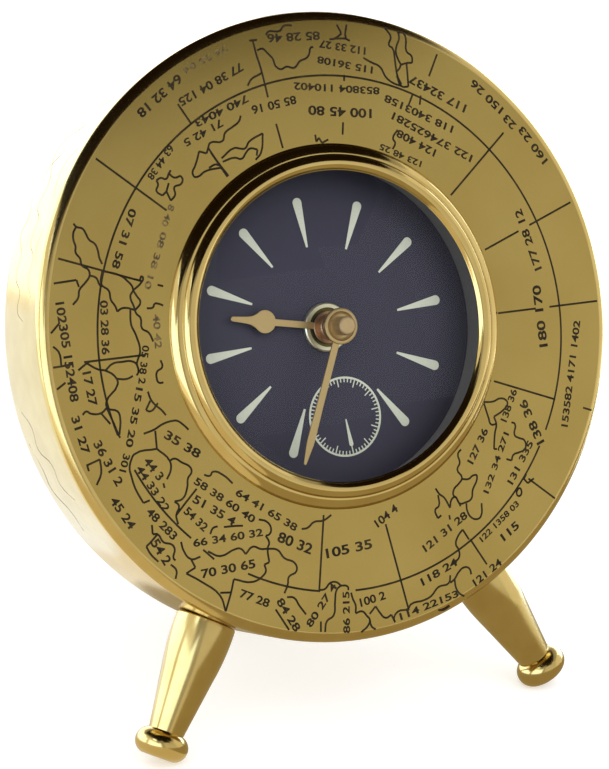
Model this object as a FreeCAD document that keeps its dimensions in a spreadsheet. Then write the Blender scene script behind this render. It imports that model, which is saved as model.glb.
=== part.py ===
import FreeCAD, Part
import math
import os
import Sketcher

# World time clock: a spun brass drum that leans back on three turned legs, with an engraved
# face and a round insert clock pushed in from the front. Millimetres throughout.
# The clock's own frame has its origin in the middle of the drum's face, +X to the viewer's
# right, +Y up along the face and +Z out of the face. Every finished piece is then leaned
# back and lifted, so that it stands on the floor with +Z up and its face towards -Y.

Vector = FreeCAD.Vector
Placement = FreeCAD.Placement
Rotation = FreeCAD.Rotation

doc = FreeCAD.newDocument("WorldTimeClock")

# Driving dimensions, one row each, in millimetres and degrees
sizes = {
    # how the clock stands
    "lean_angle": 16, "leg_splay_angle": 29.5, "rear_leg_angle": 30, "insert_angle": 6.3,
    "foot_flat": 0.35, "cut_overrun": 2,
    # drum
    "case_radius": 76, "case_depth": 30, "case_wall": 3, "front_round": 2.5, "back_round": 7,
    "insert_hole_radius": 42.4, "inner_round": 3, "leg_boss_radius": 7.2, "leg_boss_height": 4,
    # back cover
    "cover_rim": 2, "cover_gap": 0.15, "cover_thickness": 2, "cover_ring_width": 25,
    "cover_ledge_width": 6, "cover_ledge_height": 4, "cover_edge_bevel": 0.5,
    "screw_inset": 3, "screw_count": 4, "screw_first_angle": 45, "screw_radius": 1.25,
    "screw_gap": 0.08, "screw_length": 5, "screw_head_radius": 2.2, "screw_head_height": 1.3,
    "screw_slot_width": 0.6, "screw_slot_depth": 0.6,
    # legs
    "leg_length": 34.6, "leg_top_radius": 7.45, "leg_waist_radius": 6.5, "leg_waist_place": 13.5,
    "leg_swell_radius": 60, "leg_neck_radius": 4.3, "bead_height": 6.4, "bead_end_radius": 4.1,
    "bead_round": 3.35, "rear_leg_inset": 14.4, "seat_gap": 0.05,
    "stud_radius": 2.5, "stud_gap": 0.06, "stud_in_leg": 10, "stud_hole_extra": 1,
    "stud_tip": 1.5, "washer_radius": 5, "washer_thickness": 1, "nut_across_flats": 8,
    "nut_height": 4,
    # bezel of the insert clock, its steps counted inwards from its edge and up from the lens
    "bezel_wall": 0.95, "bezel_roll_radius": 2.2, "bezel_cove_inset": 2.6,
    "bezel_cove_height": 1.9, "bezel_crest_foot_inset": 3.5, "bezel_crest_radius": 1.5,
    "bezel_crest_inset": 5.1, "bezel_crest_rise": 0.5, "bezel_slope_inset": 6.4,
    "bezel_slope_rise": 0.3, "bezel_lip_inset": 6.7, "bezel_lip_thickness": 0.4,
    # lens and its gasket
    "lens_thickness": 1.3, "lens_lap": 1.9, "lens_rim_width": 2, "lens_clearance": 1.15,
    "lens_gap": 0.05, "gasket_thickness": 0.5, "gasket_width": 0.9, "gasket_foot": 0.35,
    # can that holds the insert clock together, and the rubber band round it
    "can_wall": 0.7, "can_floor": 1, "can_flange_lap": 0.6, "can_flange_thickness": 0.5,
    "part_gap": 0.05, "band_lip_count": 4, "band_lip_height": 0.6, "band_top": 0.4,
    "band_width": 7, "band_thickness": 1.3,
    # dial and the ring round it
    "dial_depth": 7.5, "dial_thickness": 0.8, "ring_lower_wall": 0.55,
    "ring_upper_wall": 1.85, "bushing_radius": 4, "bushing_hole_gap": 0.1,
    "dial_washer_radius": 9, "dial_washer_thickness": 0.5, "nut_washer_radius": 5.4,
    "nut_washer_thickness": 0.3, "centre_nut_radius": 5.95, "centre_nut_height": 1.3,
    "centre_nut_bevel": 0.3, "centre_nut_rim": 0.8, "centre_nut_recess": 0.5,
    "bushing_set_back": 0.3,
    # hands, their heights counted from the dial
    "hour_hand_height": 1.9, "minute_hand_height": 8.25, "hand_thickness": 0.4,
    "hour_hand_length": 26, "hour_spade_place": 17.1, "hour_spade_radius": 2.8,
    "hour_spade_angle": 30, "hour_nose_place": 21.2, "hour_nose_curve": 9,
    "hour_shaft_width": 1.65, "hour_tip_width": 1.3, "hour_hub_radius": 4,
    "hour_collet_radius": 3.2, "hour_collet_height": 2.2,
    "minute_hand_length": 34.6, "minute_belly_place": 29.4, "minute_belly_width": 2,
    "minute_shaft_width": 1.8, "minute_tip_width": 0.7, "minute_hub_radius": 4.4,
    "minute_hub_rise": 0.9, "minute_hub_rim": 0.9, "minute_hub_floor": 2.7,
    "minute_collet_radius": 2.7, "minute_collet_height": 2.4,
    "hour_hand_angle": 287.5, "minute_hand_angle": 210,
    "hand_nut_radius": 2.3, "hand_nut_height": 4.05, "hand_nut_bevel": 0.6,
    "hand_thread_radius": 1.3, "hand_thread_length": 2.6,
    # quartz movement: depths are counted backwards from its front face
    "movement_corner": 3, "movement_wall": 1.2, "movement_depth": 16.2,
    "movement_split": 8.5, "works_gap": 0.66, "works_top_gap": 2.04,
    "battery_radius": 7.25, "battery_length": 49.5, "battery_nub": 1,
    "battery_nub_radius": 2.75, "battery_edge": 0.5, "battery_front_gap": 0.3,
    "battery_low_gap": 0.25, "battery_end_gap": 1.15, "battery_gap": 0.15, "battery_wall": 1,
    "contact_thickness": 0.4, "contact_width": 7, "contact_height": 10,
    # gear train
    "arbor_radius": 0.6, "bearing_gap": 0.05, "bearing_radius": 1.8, "end_shake": 0.2,
    "cannon_radius": 1.75, "pipe_radius": 2.55, "pipe_gap": 0.08, "hand_fit": 0.02,
    "post_radius": 0.9, "wheel_thickness": 0.6, "pinion_thickness": 1,
    "clutch_seat_radius": 1.2, "clutch_gap": 0.05, "clutch_spring_radius": 2.2,
    "clutch_spring_thickness": 0.3,
    "train_module": 0.32, "third_module": 0.34, "seconds_module": 0.30, "rotor_module": 0.25,
    "cannon_module": 0.375, "hour_module": 0.36,
    "centre_teeth": 64, "small_pinion_teeth": 8, "third_teeth": 60, "seconds_teeth": 60,
    "large_pinion_teeth": 10, "step_teeth": 50, "cannon_teeth": 12, "motion_teeth": 36,
    "hour_teeth": 40,
    "third_angle": 60, "seconds_angle": 150, "step_angle": 190,
    "rotor_angle": -100, "motion_angle": -20, "set_angle": 0,
    "hour_wheel_level": 1.5, "hour_wheel_thickness": 1, "motion_wheel_level": 3,
    "motion_wheel_thickness": 1, "motion_pinion_level": 1.4, "cannon_level": 2.9,
    "cannon_thickness": 1.2, "centre_level": 4.8, "third_level": 6.2, "seconds_level": 7.8,
    "step_level": 9.2, "level_step": 0.2, "magnet_level": 10.6, "magnet_thickness": 1.8,
    "magnet_radius": 2.5, "back_bearing_gap": 0.6,
    "set_shaft_radius": 1, "set_knob_radius": 4.5, "set_knob_height": 3, "set_knob_grooves": 24,
    "set_knob_groove": 0.35, "set_knob_gap": 0.4,
    # motor and electronics
    "coil_reach": 7.1, "coil_wall_gap": 1, "coil_level": 10.7, "coil_low_end": -8.6, "coil_high_end": 5.2,
    "coil_flange": 0.8, "coil_radius": 2.8, "coil_tube_radius": 1.8, "core_width": 2,
    "core_thickness": 0.8, "core_gap": 0.1, "core_overhang": 2,
    "stator_thickness": 0.8, "stator_hole_radius": 3, "stator_half_width": 3.5,
    "board_wall_gap": 1.3, "board_width": 11, "board_low": 2, "board_height": 23,
    "board_level": 12.4, "board_thickness": 0.8, "board_post_radius": 1,
    "board_post_inset": 1.6, "chip_radius": 2.6, "chip_height": 0.9, "chip_rise": 15,
    "crystal_radius": 1, "crystal_length": 6, "crystal_rise": 5,
}

# Sizes and places that follow from the ones above, as formulas of the sheet
followers = {
    # back cover and rear leg
    "cover_radius": "case_radius - back_round - cover_rim",
    "cover_opening_radius": "cover_radius - cover_ring_width",
    "screw_circle_radius": "cover_radius - screw_inset",
    "rear_leg_drop": "cover_radius - rear_leg_inset",
    # insert clock, from the hole outwards to the bezel's edge and inwards to the lens
    "can_radius": "insert_hole_radius - 2 * part_gap - band_thickness",
    "can_flange_radius": "insert_hole_radius + can_flange_lap",
    "bezel_radius": "can_flange_radius + part_gap + bezel_wall",
    "bezel_cove_radius": "bezel_radius - bezel_cove_inset",
    "bezel_crest_foot": "bezel_radius - bezel_crest_foot_inset",
    "bezel_crest_top": "bezel_radius - bezel_crest_inset",
    "bezel_slope_radius": "bezel_radius - bezel_slope_inset",
    "bezel_lip_radius": "bezel_radius - bezel_lip_inset",
    "lens_radius": "bezel_lip_radius + lens_lap",
    "lens_dome_radius": "lens_radius - lens_rim_width",
    "gasket_inner_radius": "lens_radius - gasket_width",
    "ring_outer_radius": "can_radius - can_wall - part_gap",
    "ring_lower_radius": "ring_outer_radius - ring_lower_wall",
    "ring_upper_radius": "ring_outer_radius - ring_upper_wall",
    # levels: hands over the dial, lens on its gasket and clear of the cap nut, bezel over it
    "hour_hand_level": "hour_hand_height - dial_depth",
    "minute_hand_level": "minute_hand_height - dial_depth",
    "lens_rim_top": "gasket_foot + gasket_thickness + lens_thickness",
    "lens_rise": "minute_hand_level + hand_thickness + hand_nut_height + lens_clearance"
                 " + lens_thickness - lens_rim_top",
    "bezel_lip_top": "lens_rim_top + lens_gap + bezel_lip_thickness",
    "bezel_slope_height": "bezel_lip_top + bezel_slope_rise",
    "bezel_height": "bezel_slope_height + bezel_crest_rise",
    # movement: the works' room follows the train and the coil, the cell's room the cell
    "works_drop": "centre_teeth * train_module / 2 + works_gap",
    "seconds_rise": "train_module * (centre_teeth + small_pinion_teeth) / 2 * sin(third_angle)"
                    " + third_module * (third_teeth + small_pinion_teeth) / 2"
                    " * sin(seconds_angle)",
    "movement_rise": "seconds_rise + seconds_teeth * seconds_module / 2 + works_top_gap"
                     " + movement_wall",
    "rotor_reach": "-train_module * (centre_teeth + small_pinion_teeth) / 2 * cos(third_angle)"
                   " - third_module * (third_teeth + small_pinion_teeth) / 2"
                   " * cos(seconds_angle)"
                   " - seconds_module * (seconds_teeth + large_pinion_teeth) / 2"
                   " * cos(step_angle)"
                   " - rotor_module * (step_teeth + large_pinion_teeth) / 2 * cos(rotor_angle)",
    "coil_place": "rotor_reach + coil_reach",
    "movement_half": "coil_place + coil_radius + coil_wall_gap + movement_wall",
    "board_left": "movement_half - movement_wall - board_wall_gap - board_width",
    "battery_drop": "works_drop + battery_wall + battery_gap + battery_radius",
    "battery_level": "movement_wall + battery_front_gap + battery_radius",
    "battery_room": "battery_length / 2 + battery_nub / 2 + contact_thickness"
                    " + battery_end_gap",
    "movement_drop": "battery_drop + battery_radius + battery_low_gap + movement_wall",
}

sheet = doc.addObject("Spreadsheet::Sheet", "Size")
rows = {name: str(number) for name, number in sizes.items()}
rows.update({name: "=" + formula for name, formula in followers.items()})
for row, (name, content) in enumerate(rows.items(), start=1):
    sheet.set(f"A{row}", name)
    sheet.set(f"B{row}", content)
    sheet.setAlias(f"B{row}", name)
doc.recompute()

# Tooth form, as shares of the module and of the tooth pitch
tooth_addendum_share = 0.7
tooth_dedendum_share = 1.1
tooth_tip_share = 0.22
tooth_root_share = 0.5
same_point = 1e-6


def size(name):
    """Value of one driving dimension."""
    return float(getattr(sheet, name))


def value(expression):
    """Number that a sheet expression works out to."""
    return float(sheet.evalExpression(expression))


pieces = []


def keep(label, piece):
    """Give a finished piece its name and add it to the list that is written out."""
    piece.Label = label
    pieces.append(piece)
    return piece


# Sketched bodies

def plane_of(body, role):
    """Origin plane of a body by its role."""
    return next(item for item in body.Origin.OriginFeatures if item.Role == role)


def new_sketch(body, name, role, level="0"):
    """Sketch on an origin plane of its body, lifted along the plane's normal."""
    sketch = body.newObject("Sketcher::SketchObject", name)
    sketch.AttachmentSupport = [(plane_of(body, role), "")]
    sketch.MapMode = "FlatFace"
    sketch.setExpression("AttachmentOffset.Base.z", level)
    return sketch


def arc_middle(start, end, radius, side):
    """Middle point of an arc from start to end that bulges left (+1) or right (-1)."""
    chord = end - start
    half = chord.Length / 2
    rise = radius - math.sqrt(max(radius * radius - half * half, 0))
    left = Vector(-chord.y, chord.x, 0).normalize()
    return (start + end) * 0.5 + left * (side * rise)


def draw(sketch, corners):
    """Closed outline. A corner is (x, y), or (x, y, radius, side) where an arc leaves it."""
    points = [Vector(value(corner[0]), value(corner[1]), 0) for corner in corners]
    first = sketch.GeometryCount
    count = len(corners)
    for place, corner in enumerate(corners):
        start, end = points[place], points[(place + 1) % count]
        if len(corner) == 2:
            sketch.addGeometry(Part.LineSegment(start, end), False)
        else:
            middle = arc_middle(start, end, value(corner[2]), corner[3])
            sketch.addGeometry(Part.Arc(start, middle, end), False)
    begins = []
    for place in range(count):
        at_one = (sketch.getPoint(first + place, 1) - points[place]).Length < same_point
        begins.append(1 if at_one else 2)
    for place, corner in enumerate(corners):
        edge, begin = first + place, begins[place]
        before = (place - 1) % count
        sketch.addConstraint(Sketcher.Constraint(
            "Coincident", first + before, 3 - begins[before], edge, begin))
        for kind, text, axis in (("DistanceX", corner[0], -2), ("DistanceY", corner[1], -1)):
            if text == "0":
                sketch.addConstraint(Sketcher.Constraint("PointOnObject", edge, begin, axis))
                continue
            number = sketch.addConstraint(Sketcher.Constraint(
                kind, -1, 1, edge, begin, value(text)))
            sketch.setExpression(f"Constraints[{number}]", text)
        if len(corner) == 4:
            number = sketch.addConstraint(Sketcher.Constraint("Radius", edge, value(corner[2])))
            sketch.setExpression(f"Constraints[{number}]", corner[2])


def turned(label, corners):
    """Body of revolution about Z from an outline in radius and height."""
    body = doc.addObject("PartDesign::Body", label)
    sketch = new_sketch(body, label + "_outline", "XZ_Plane")
    draw(sketch, corners)
    feature = body.newObject("PartDesign::Revolution", label + "_turning")
    feature.Profile = sketch
    feature.ReferenceAxis = (sketch, ["V_Axis"])
    feature.Angle = 360
    return body


def sawn(label, corners, thickness, level="0"):
    """Plate of one thickness from an outline in X and Y, standing on a level."""
    body = doc.addObject("PartDesign::Body", label)
    sketch = new_sketch(body, label + "_outline", "XY_Plane", level)
    draw(sketch, corners)
    feature = body.newObject("PartDesign::Pad", label + "_pad")
    feature.Profile = sketch
    feature.setExpression("Length", thickness)
    return body


# Primitives and booleans

def rod(name, radius, length, place=Placement()):
    """Round bar along its own Z."""
    item = doc.addObject("Part::Cylinder", name)
    item.setExpression("Radius", radius)
    item.setExpression("Height", length)
    item.Placement = place
    return item


def block(name, length, width, height, place=Placement()):
    """Rectangular bar from its low corner."""
    item = doc.addObject("Part::Box", name)
    item.setExpression("Length", length)
    item.setExpression("Width", width)
    item.setExpression("Height", height)
    item.Placement = place
    return item


def joined(name, items):
    """Union of several objects."""
    item = doc.addObject("Part::MultiFuse", name)
    item.Shapes = items
    return item


def cut(name, base, tools):
    """One object less one or more others."""
    item = doc.addObject("Part::Cut", name)
    item.Base = base
    item.Tool = tools[0] if len(tools) == 1 else joined(name + "_tools", tools)
    return item


def at(x, y, z, rotation=Rotation()):
    """Placement from three lengths."""
    return Placement(Vector(x, y, z), rotation)


def group(name, items):
    """Several like solids kept as one piece."""
    item = doc.addObject("Part::Compound", name)
    item.Links = items
    return item


# How the clock stands. A leg's foot is a bead whose round flank meets the floor, so the
# height of a seat above the floor follows from the bead's place, its rounding and the
# angle between the leg and the plumb line.
lean = math.radians(size("lean_angle"))
splay = math.radians(size("leg_splay_angle"))
slope = math.radians(size("rear_leg_angle"))


def bead_centre():
    """Radius and distance from the leg's end of the centre of the bead's rounding."""
    start = Vector(size("leg_neck_radius"), size("bead_height"), 0)
    end = Vector(size("bead_end_radius"), 0, 0)
    chord = end - start
    depth = math.sqrt(size("bead_round") ** 2 - (chord.Length / 2) ** 2)
    inward = Vector(chord.y, -chord.x, 0).normalize()
    middle = (start + end) * 0.5
    return middle.x + inward.x * depth, middle.y + inward.y * depth


bead_radius, bead_lift = bead_centre()


def foot_reach(length, angle):
    """How far below its seat a leg of one length reaches, angle away from the plumb line."""
    along = length - bead_lift
    low = along * math.cos(angle) + bead_radius * math.sin(angle) + size("bead_round")
    return low - size("foot_flat")


mid_depth = size("case_depth") / 2
front_angle = math.acos(math.cos(splay) * math.cos(lean))
front_seat_drop = (size("case_radius") * math.cos(splay) * math.cos(lean)
                   + mid_depth * math.sin(lean))
face_height = front_seat_drop + foot_reach(size("leg_length"), front_angle)
rear_seat_height = (face_height - size("rear_leg_drop") * math.cos(lean)
                    - size("case_depth") * math.sin(lean))
rear_angle = math.pi / 2 - slope
rear_rest = bead_radius * math.sin(rear_angle) + size("bead_round") - size("foot_flat")
rear_leg_length = (rear_seat_height - rear_rest) / math.cos(rear_angle) + bead_lift

# The floor as the clock's own frame sees it, a thick block under the feet
stand_turn = Rotation(Vector(1, 0, 0), 90 - size("lean_angle"))
lifted = Placement(Vector(0, 0, face_height), stand_turn)


def floor_block(name):
    """Block whose top is the floor, in the clock's own frame."""
    item = block(name, "4 * Size.case_radius", "4 * Size.case_radius", "Size.case_depth")
    low_corner = Vector(-2 * size("case_radius"), -2 * size("case_radius"), -size("case_depth"))
    item.Placement = lifted.inverse().multiply(Placement(low_corner, Rotation()))
    return item


def down_the_leg(direction, seat):
    """Placement that puts local Z along a leg with its origin at the seat."""
    return Placement(seat, Rotation(Vector(0, 0, 1), direction))


leg_seats = {}
for name, side in (("left_leg", -1), ("right_leg", 1)):
    direction = Vector(side * math.sin(splay), -math.cos(splay), 0)
    seat = direction * size("case_radius") + Vector(0, 0, -mid_depth)
    leg_seats[name] = down_the_leg(direction, seat)
rear_tilt = slope - lean
rear_direction = Vector(0, -math.sin(rear_tilt), -math.cos(rear_tilt))
leg_seats["rear_leg"] = down_the_leg(
    rear_direction, Vector(0, -size("rear_leg_drop"), -size("case_depth")))


def along(leg, distance):
    """Placement on a leg's axis, a distance out from its seat."""
    return leg_seats[leg].multiply(at(0, 0, distance))


# Drum: face and side wall spun and turned in one, with a ledge for the back cover
case_outline = [
    ("Size.insert_hole_radius", "0"),
    ("Size.insert_hole_radius", "-Size.case_wall"),
    ("Size.case_radius - Size.case_wall - Size.inner_round", "-Size.case_wall",
     "Size.inner_round", 1),
    ("Size.case_radius - Size.case_wall", "-Size.case_wall - Size.inner_round"),
    ("Size.case_radius - Size.case_wall",
     "-Size.case_depth + Size.cover_thickness + Size.cover_ledge_height"),
    ("Size.cover_radius - Size.cover_ledge_width",
     "-Size.case_depth + Size.cover_thickness + Size.cover_ledge_height"),
    ("Size.cover_radius - Size.cover_ledge_width", "-Size.case_depth + Size.cover_thickness"),
    ("Size.cover_radius", "-Size.case_depth + Size.cover_thickness"),
    ("Size.cover_radius", "-Size.case_depth"),
    ("Size.case_radius - Size.back_round", "-Size.case_depth", "Size.back_round", -1),
    ("Size.case_radius", "-Size.case_depth + Size.back_round"),
    ("Size.case_radius", "-Size.front_round", "Size.front_round", -1),
    ("Size.case_radius - Size.front_round", "0"),
]
case_turning = turned("case_turning", case_outline)
front_legs = ("left_leg", "right_leg")
boss_inner = size("case_wall") + size("leg_boss_height")
case_bosses = [
    rod(f"{leg}_boss", "Size.leg_boss_radius", "Size.case_wall / 2 + Size.leg_boss_height",
        along(leg, -boss_inner))
    for leg in front_legs]
case_drillings = [
    rod(f"{leg}_stud_hole", "Size.stud_radius + Size.stud_gap",
        "Size.case_wall + Size.leg_boss_height + Size.cut_overrun * 2",
        along(leg, -boss_inner - size("cut_overrun")))
    for leg in front_legs]
screw_places = []
for number in range(int(size("screw_count"))):
    angle = math.radians(size("screw_first_angle") + number * 360 / size("screw_count"))
    screw_places.append(Vector(size("screw_circle_radius") * math.cos(angle),
                               size("screw_circle_radius") * math.sin(angle), 0))
cover_inside = -size("case_depth") + size("cover_thickness")
case_drillings += [
    rod(f"case_screw_hole_{number}", "Size.screw_radius + Size.screw_gap",
        "Size.cover_ledge_height + Size.cut_overrun * 2",
        Placement(place + Vector(0, 0, cover_inside - size("cut_overrun")), Rotation()))
    for number, place in enumerate(screw_places)]
case_body = joined("case_body", [case_turning] + case_bosses)
keep("case_shell", cut("case_shell_drilled", case_body, case_drillings))

# Back cover: a ring plate with the access opening, and a slanted boss for the rear leg
cover_outline = [
    ("Size.cover_opening_radius", "-Size.case_depth"),
    ("Size.cover_radius - Size.cover_gap - Size.cover_edge_bevel", "-Size.case_depth"),
    ("Size.cover_radius - Size.cover_gap", "-Size.case_depth + Size.cover_edge_bevel"),
    ("Size.cover_radius - Size.cover_gap", "-Size.case_depth + Size.cover_thickness"),
    ("Size.cover_opening_radius", "-Size.case_depth + Size.cover_thickness"),
]
cover_plate = turned("cover_plate", cover_outline)
rear_boss = rod("rear_boss", "Size.leg_boss_radius",
                "Size.case_wall + Size.leg_boss_height + Size.cut_overrun",
                along("rear_leg", -boss_inner))
behind_cover = rod("behind_cover", "Size.case_radius", "Size.case_depth",
                   at(0, 0, -2 * size("case_depth")))
rear_boss_trimmed = cut("rear_boss_trimmed", rear_boss, [behind_cover])
cover_body = joined("cover_body", [cover_plate, rear_boss_trimmed])
cover_drillings = [rod("rear_stud_hole", "Size.stud_radius + Size.stud_gap",
                       "Size.case_wall + Size.leg_boss_height + Size.cut_overrun * 2",
                       along("rear_leg", -boss_inner - size("cut_overrun")))]
cover_drillings += [
    rod(f"cover_screw_hole_{number}", "Size.screw_radius + Size.screw_gap",
        "Size.cover_thickness + Size.cut_overrun * 2",
        Placement(place + Vector(0, 0, -size("case_depth") - size("cut_overrun")), Rotation()))
    for number, place in enumerate(screw_places)]
keep("back_cover", cut("back_cover_drilled", cover_body, cover_drillings))

# Four slotted screws that hold the back cover on the ledge
screw_outline = [
    ("0", "-Size.screw_head_height"),
    ("Size.screw_head_radius - Size.screw_slot_depth", "-Size.screw_head_height",
     "Size.screw_head_radius", -1),
    ("Size.screw_head_radius", "0"),
    ("Size.screw_radius", "0"),
    ("Size.screw_radius", "Size.screw_length"),
    ("0", "Size.screw_length"),
]
screws = []
for number, place in enumerate(screw_places):
    blank = turned(f"screw_blank_{number}", screw_outline)
    slot = block(f"screw_slot_{number}", "Size.screw_head_radius * 2 + Size.cut_overrun * 2",
                 "Size.screw_slot_width", "Size.cut_overrun + Size.screw_slot_depth",
                 at(-size("screw_head_radius") - size("cut_overrun"),
                    -size("screw_slot_width") / 2,
                    -size("screw_head_height") - size("cut_overrun")))
    screw = cut(f"screw_{number}", blank, [slot])
    turn = Rotation(Vector(0, 0, 1), math.degrees(math.atan2(place.y, place.x)))
    screw.Placement = Placement(place + Vector(0, 0, -size("case_depth")), turn)
    screws.append(screw)
keep("cover_screws", group("cover_screw_set", screws))

# Legs: turned from bar, a long swelling taper, a narrow neck and a round bead for a foot


def leg(label, length):
    """Turned leg with a seat cut to what it stands against and a small flat on its foot."""
    body = turned(label + "_turning", [
        ("0", "-Size.cut_overrun"),
        ("Size.leg_top_radius", "-Size.cut_overrun"),
        ("Size.leg_top_radius", "0", "Size.leg_swell_radius", -1),
        ("Size.leg_waist_radius", f"Size.leg_waist_place * {length} / Size.leg_length"),
        ("Size.leg_neck_radius", f"{length} - Size.bead_height", "Size.bead_round", -1),
        ("Size.bead_end_radius", f"{length}"),
        ("0", f"{length}"),
    ])
    body.Placement = leg_seats[label]
    bore = rod(label + "_bore", "Size.stud_radius + Size.stud_gap",
               "Size.stud_in_leg + Size.stud_hole_extra + Size.cut_overrun * 2",
               along(label, -2 * size("cut_overrun")))
    if label == "rear_leg":
        seat = rod(label + "_seat", "Size.case_radius", "Size.case_depth",
                   at(0, 0, -size("case_depth") - size("seat_gap")))
    else:
        seat = rod(label + "_seat", "Size.case_radius + Size.seat_gap", "Size.case_depth",
                   at(0, 0, -size("case_depth")))
    return keep(label, cut(label + "_finished", body, [bore, seat, floor_block(label + "_floor")]))


leg("left_leg", "Size.leg_length")
leg("right_leg", "Size.leg_length")
leg("rear_leg", f"{rear_leg_length}")

# Studs, washers and nuts that pull the legs against the drum from inside
studs, washers, nuts = [], [], []
nut_seat = -boss_inner
for name in leg_seats:
    washer_place = nut_seat - size("washer_thickness")
    nut_place = washer_place - size("nut_height")
    stud_place = nut_place - size("stud_tip")
    studs.append(rod(
        name + "_stud", "Size.stud_radius",
        "Size.stud_tip + Size.nut_height + Size.washer_thickness + Size.leg_boss_height"
        " + Size.case_wall + Size.stud_in_leg", along(name, stud_place)))
    washers.append(cut(
        name + "_washer",
        rod(name + "_washer_disc", "Size.washer_radius", "Size.washer_thickness",
            along(name, washer_place)),
        [rod(name + "_washer_hole", "Size.stud_radius + Size.stud_gap",
             "Size.washer_thickness + Size.cut_overrun * 2",
             along(name, washer_place - size("cut_overrun")))]))
    hexagon = doc.addObject("Part::Prism", name + "_nut_blank")
    hexagon.Polygon = 6
    hexagon.setExpression("Circumradius", "Size.nut_across_flats / 2 / cos(30)")
    hexagon.setExpression("Height", "Size.nut_height")
    hexagon.Placement = along(name, nut_place)
    nuts.append(cut(
        name + "_nut", hexagon,
        [rod(name + "_nut_hole", "Size.stud_radius + Size.stud_gap",
             "Size.nut_height + Size.cut_overrun * 2",
             along(name, nut_place - size("cut_overrun")))]))
keep("leg_studs", group("leg_stud_set", studs))
keep("leg_washers", group("leg_washer_set", washers))
keep("leg_nuts", group("leg_nut_set", nuts))
stand_piece_count = len(pieces)

# Insert clock: from here on, every piece sits in the drum's hole, turned a little in it.
# Its bezel is a turned ring with two rolls, closed over the can's flange.
keep("bezel", turned("bezel_body", [
    ("Size.can_flange_radius + Size.part_gap", "0"),
    ("Size.bezel_radius", "0", "Size.bezel_roll_radius", -1),
    ("Size.bezel_cove_radius", "Size.bezel_cove_height"),
    ("Size.bezel_crest_foot", "Size.bezel_cove_height", "Size.bezel_crest_radius", -1),
    ("Size.bezel_crest_top", "Size.bezel_height"),
    ("Size.bezel_slope_radius", "Size.bezel_slope_height"),
    ("Size.bezel_lip_radius", "Size.bezel_lip_top"),
    ("Size.bezel_lip_radius", "Size.lens_rim_top + Size.lens_gap"),
    ("Size.lens_radius + Size.lens_gap", "Size.lens_rim_top + Size.lens_gap"),
    ("Size.lens_radius + Size.lens_gap", "Size.can_flange_thickness + Size.part_gap"),
    ("Size.can_flange_radius + Size.part_gap", "Size.can_flange_thickness + Size.part_gap"),
]))

# Lens: a pressed dome with a flat rim that lies under the bezel's lip
lens_apex = "Size.lens_rim_top + Size.lens_rise"
dome_radius = ("(Size.lens_dome_radius * Size.lens_dome_radius + Size.lens_rise * Size.lens_rise)"
               " / (2 * Size.lens_rise)")
keep("lens", turned("lens_body", [
    ("0", lens_apex + " - Size.lens_thickness", dome_radius + " - Size.lens_thickness", 1),
    ("Size.lens_dome_radius - Size.lens_thickness * Size.lens_dome_radius / (" + dome_radius + ")",
     "Size.lens_rim_top - Size.lens_thickness * ((" + dome_radius + ") - Size.lens_rise)"
     " / (" + dome_radius + ")"),
    ("Size.lens_dome_radius - Size.lens_thickness * Size.lens_dome_radius / (" + dome_radius + ")",
     "Size.lens_rim_top - Size.lens_thickness"),
    ("Size.lens_radius", "Size.lens_rim_top - Size.lens_thickness"),
    ("Size.lens_radius", "Size.lens_rim_top"),
    ("Size.lens_dome_radius", "Size.lens_rim_top", dome_radius, -1),
    ("0", lens_apex),
]))

# Gasket under the lens rim
gasket_top = "Size.gasket_foot + Size.gasket_thickness"
keep("lens_gasket", turned("lens_gasket_body", [
    ("Size.gasket_inner_radius", gasket_top + " - Size.gasket_thickness"),
    ("Size.lens_radius", gasket_top + " - Size.gasket_thickness"),
    ("Size.lens_radius", gasket_top),
    ("Size.gasket_inner_radius", gasket_top),
]))

# Ring round the dial: a slightly conical wall from the dial up to the gasket
ring_outer = "Size.ring_outer_radius"
keep("dial_ring", turned("dial_ring_body", [
    ("Size.ring_lower_radius", "-Size.dial_depth"),
    (ring_outer, "-Size.dial_depth"),
    (ring_outer, gasket_top + " - Size.gasket_thickness"),
    ("Size.ring_upper_radius", gasket_top + " - Size.gasket_thickness"),
]))

# Dial: a flat disc with a hole for the movement's bushing
keep("dial", turned("dial_body", [
    ("Size.bushing_radius + Size.bushing_hole_gap", "-Size.dial_depth - Size.dial_thickness"),
    (ring_outer, "-Size.dial_depth - Size.dial_thickness"),
    (ring_outer, "-Size.dial_depth"),
    ("Size.bushing_radius + Size.bushing_hole_gap", "-Size.dial_depth"),
]))

# Can: a drawn cup whose flange lies on the drum's face under the bezel
can_floor_top = "-Size.dial_depth - Size.dial_thickness"
keep("insert_can", turned("insert_can_body", [
    ("Size.bushing_radius + Size.bushing_hole_gap", can_floor_top + " - Size.can_floor"),
    ("Size.can_radius", can_floor_top + " - Size.can_floor"),
    ("Size.can_radius", "0"),
    ("Size.can_flange_radius", "0"),
    ("Size.can_flange_radius", "Size.can_flange_thickness"),
    ("Size.lens_radius + Size.lens_gap", "Size.can_flange_thickness"),
    ("Size.lens_radius + Size.lens_gap", gasket_top + " - Size.gasket_thickness + Size.part_gap"),
    ("Size.can_radius - Size.can_wall", gasket_top
     + " - Size.gasket_thickness + Size.part_gap"),
    ("Size.can_radius - Size.can_wall", can_floor_top),
    ("Size.bushing_radius + Size.bushing_hole_gap", can_floor_top),
]))

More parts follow.
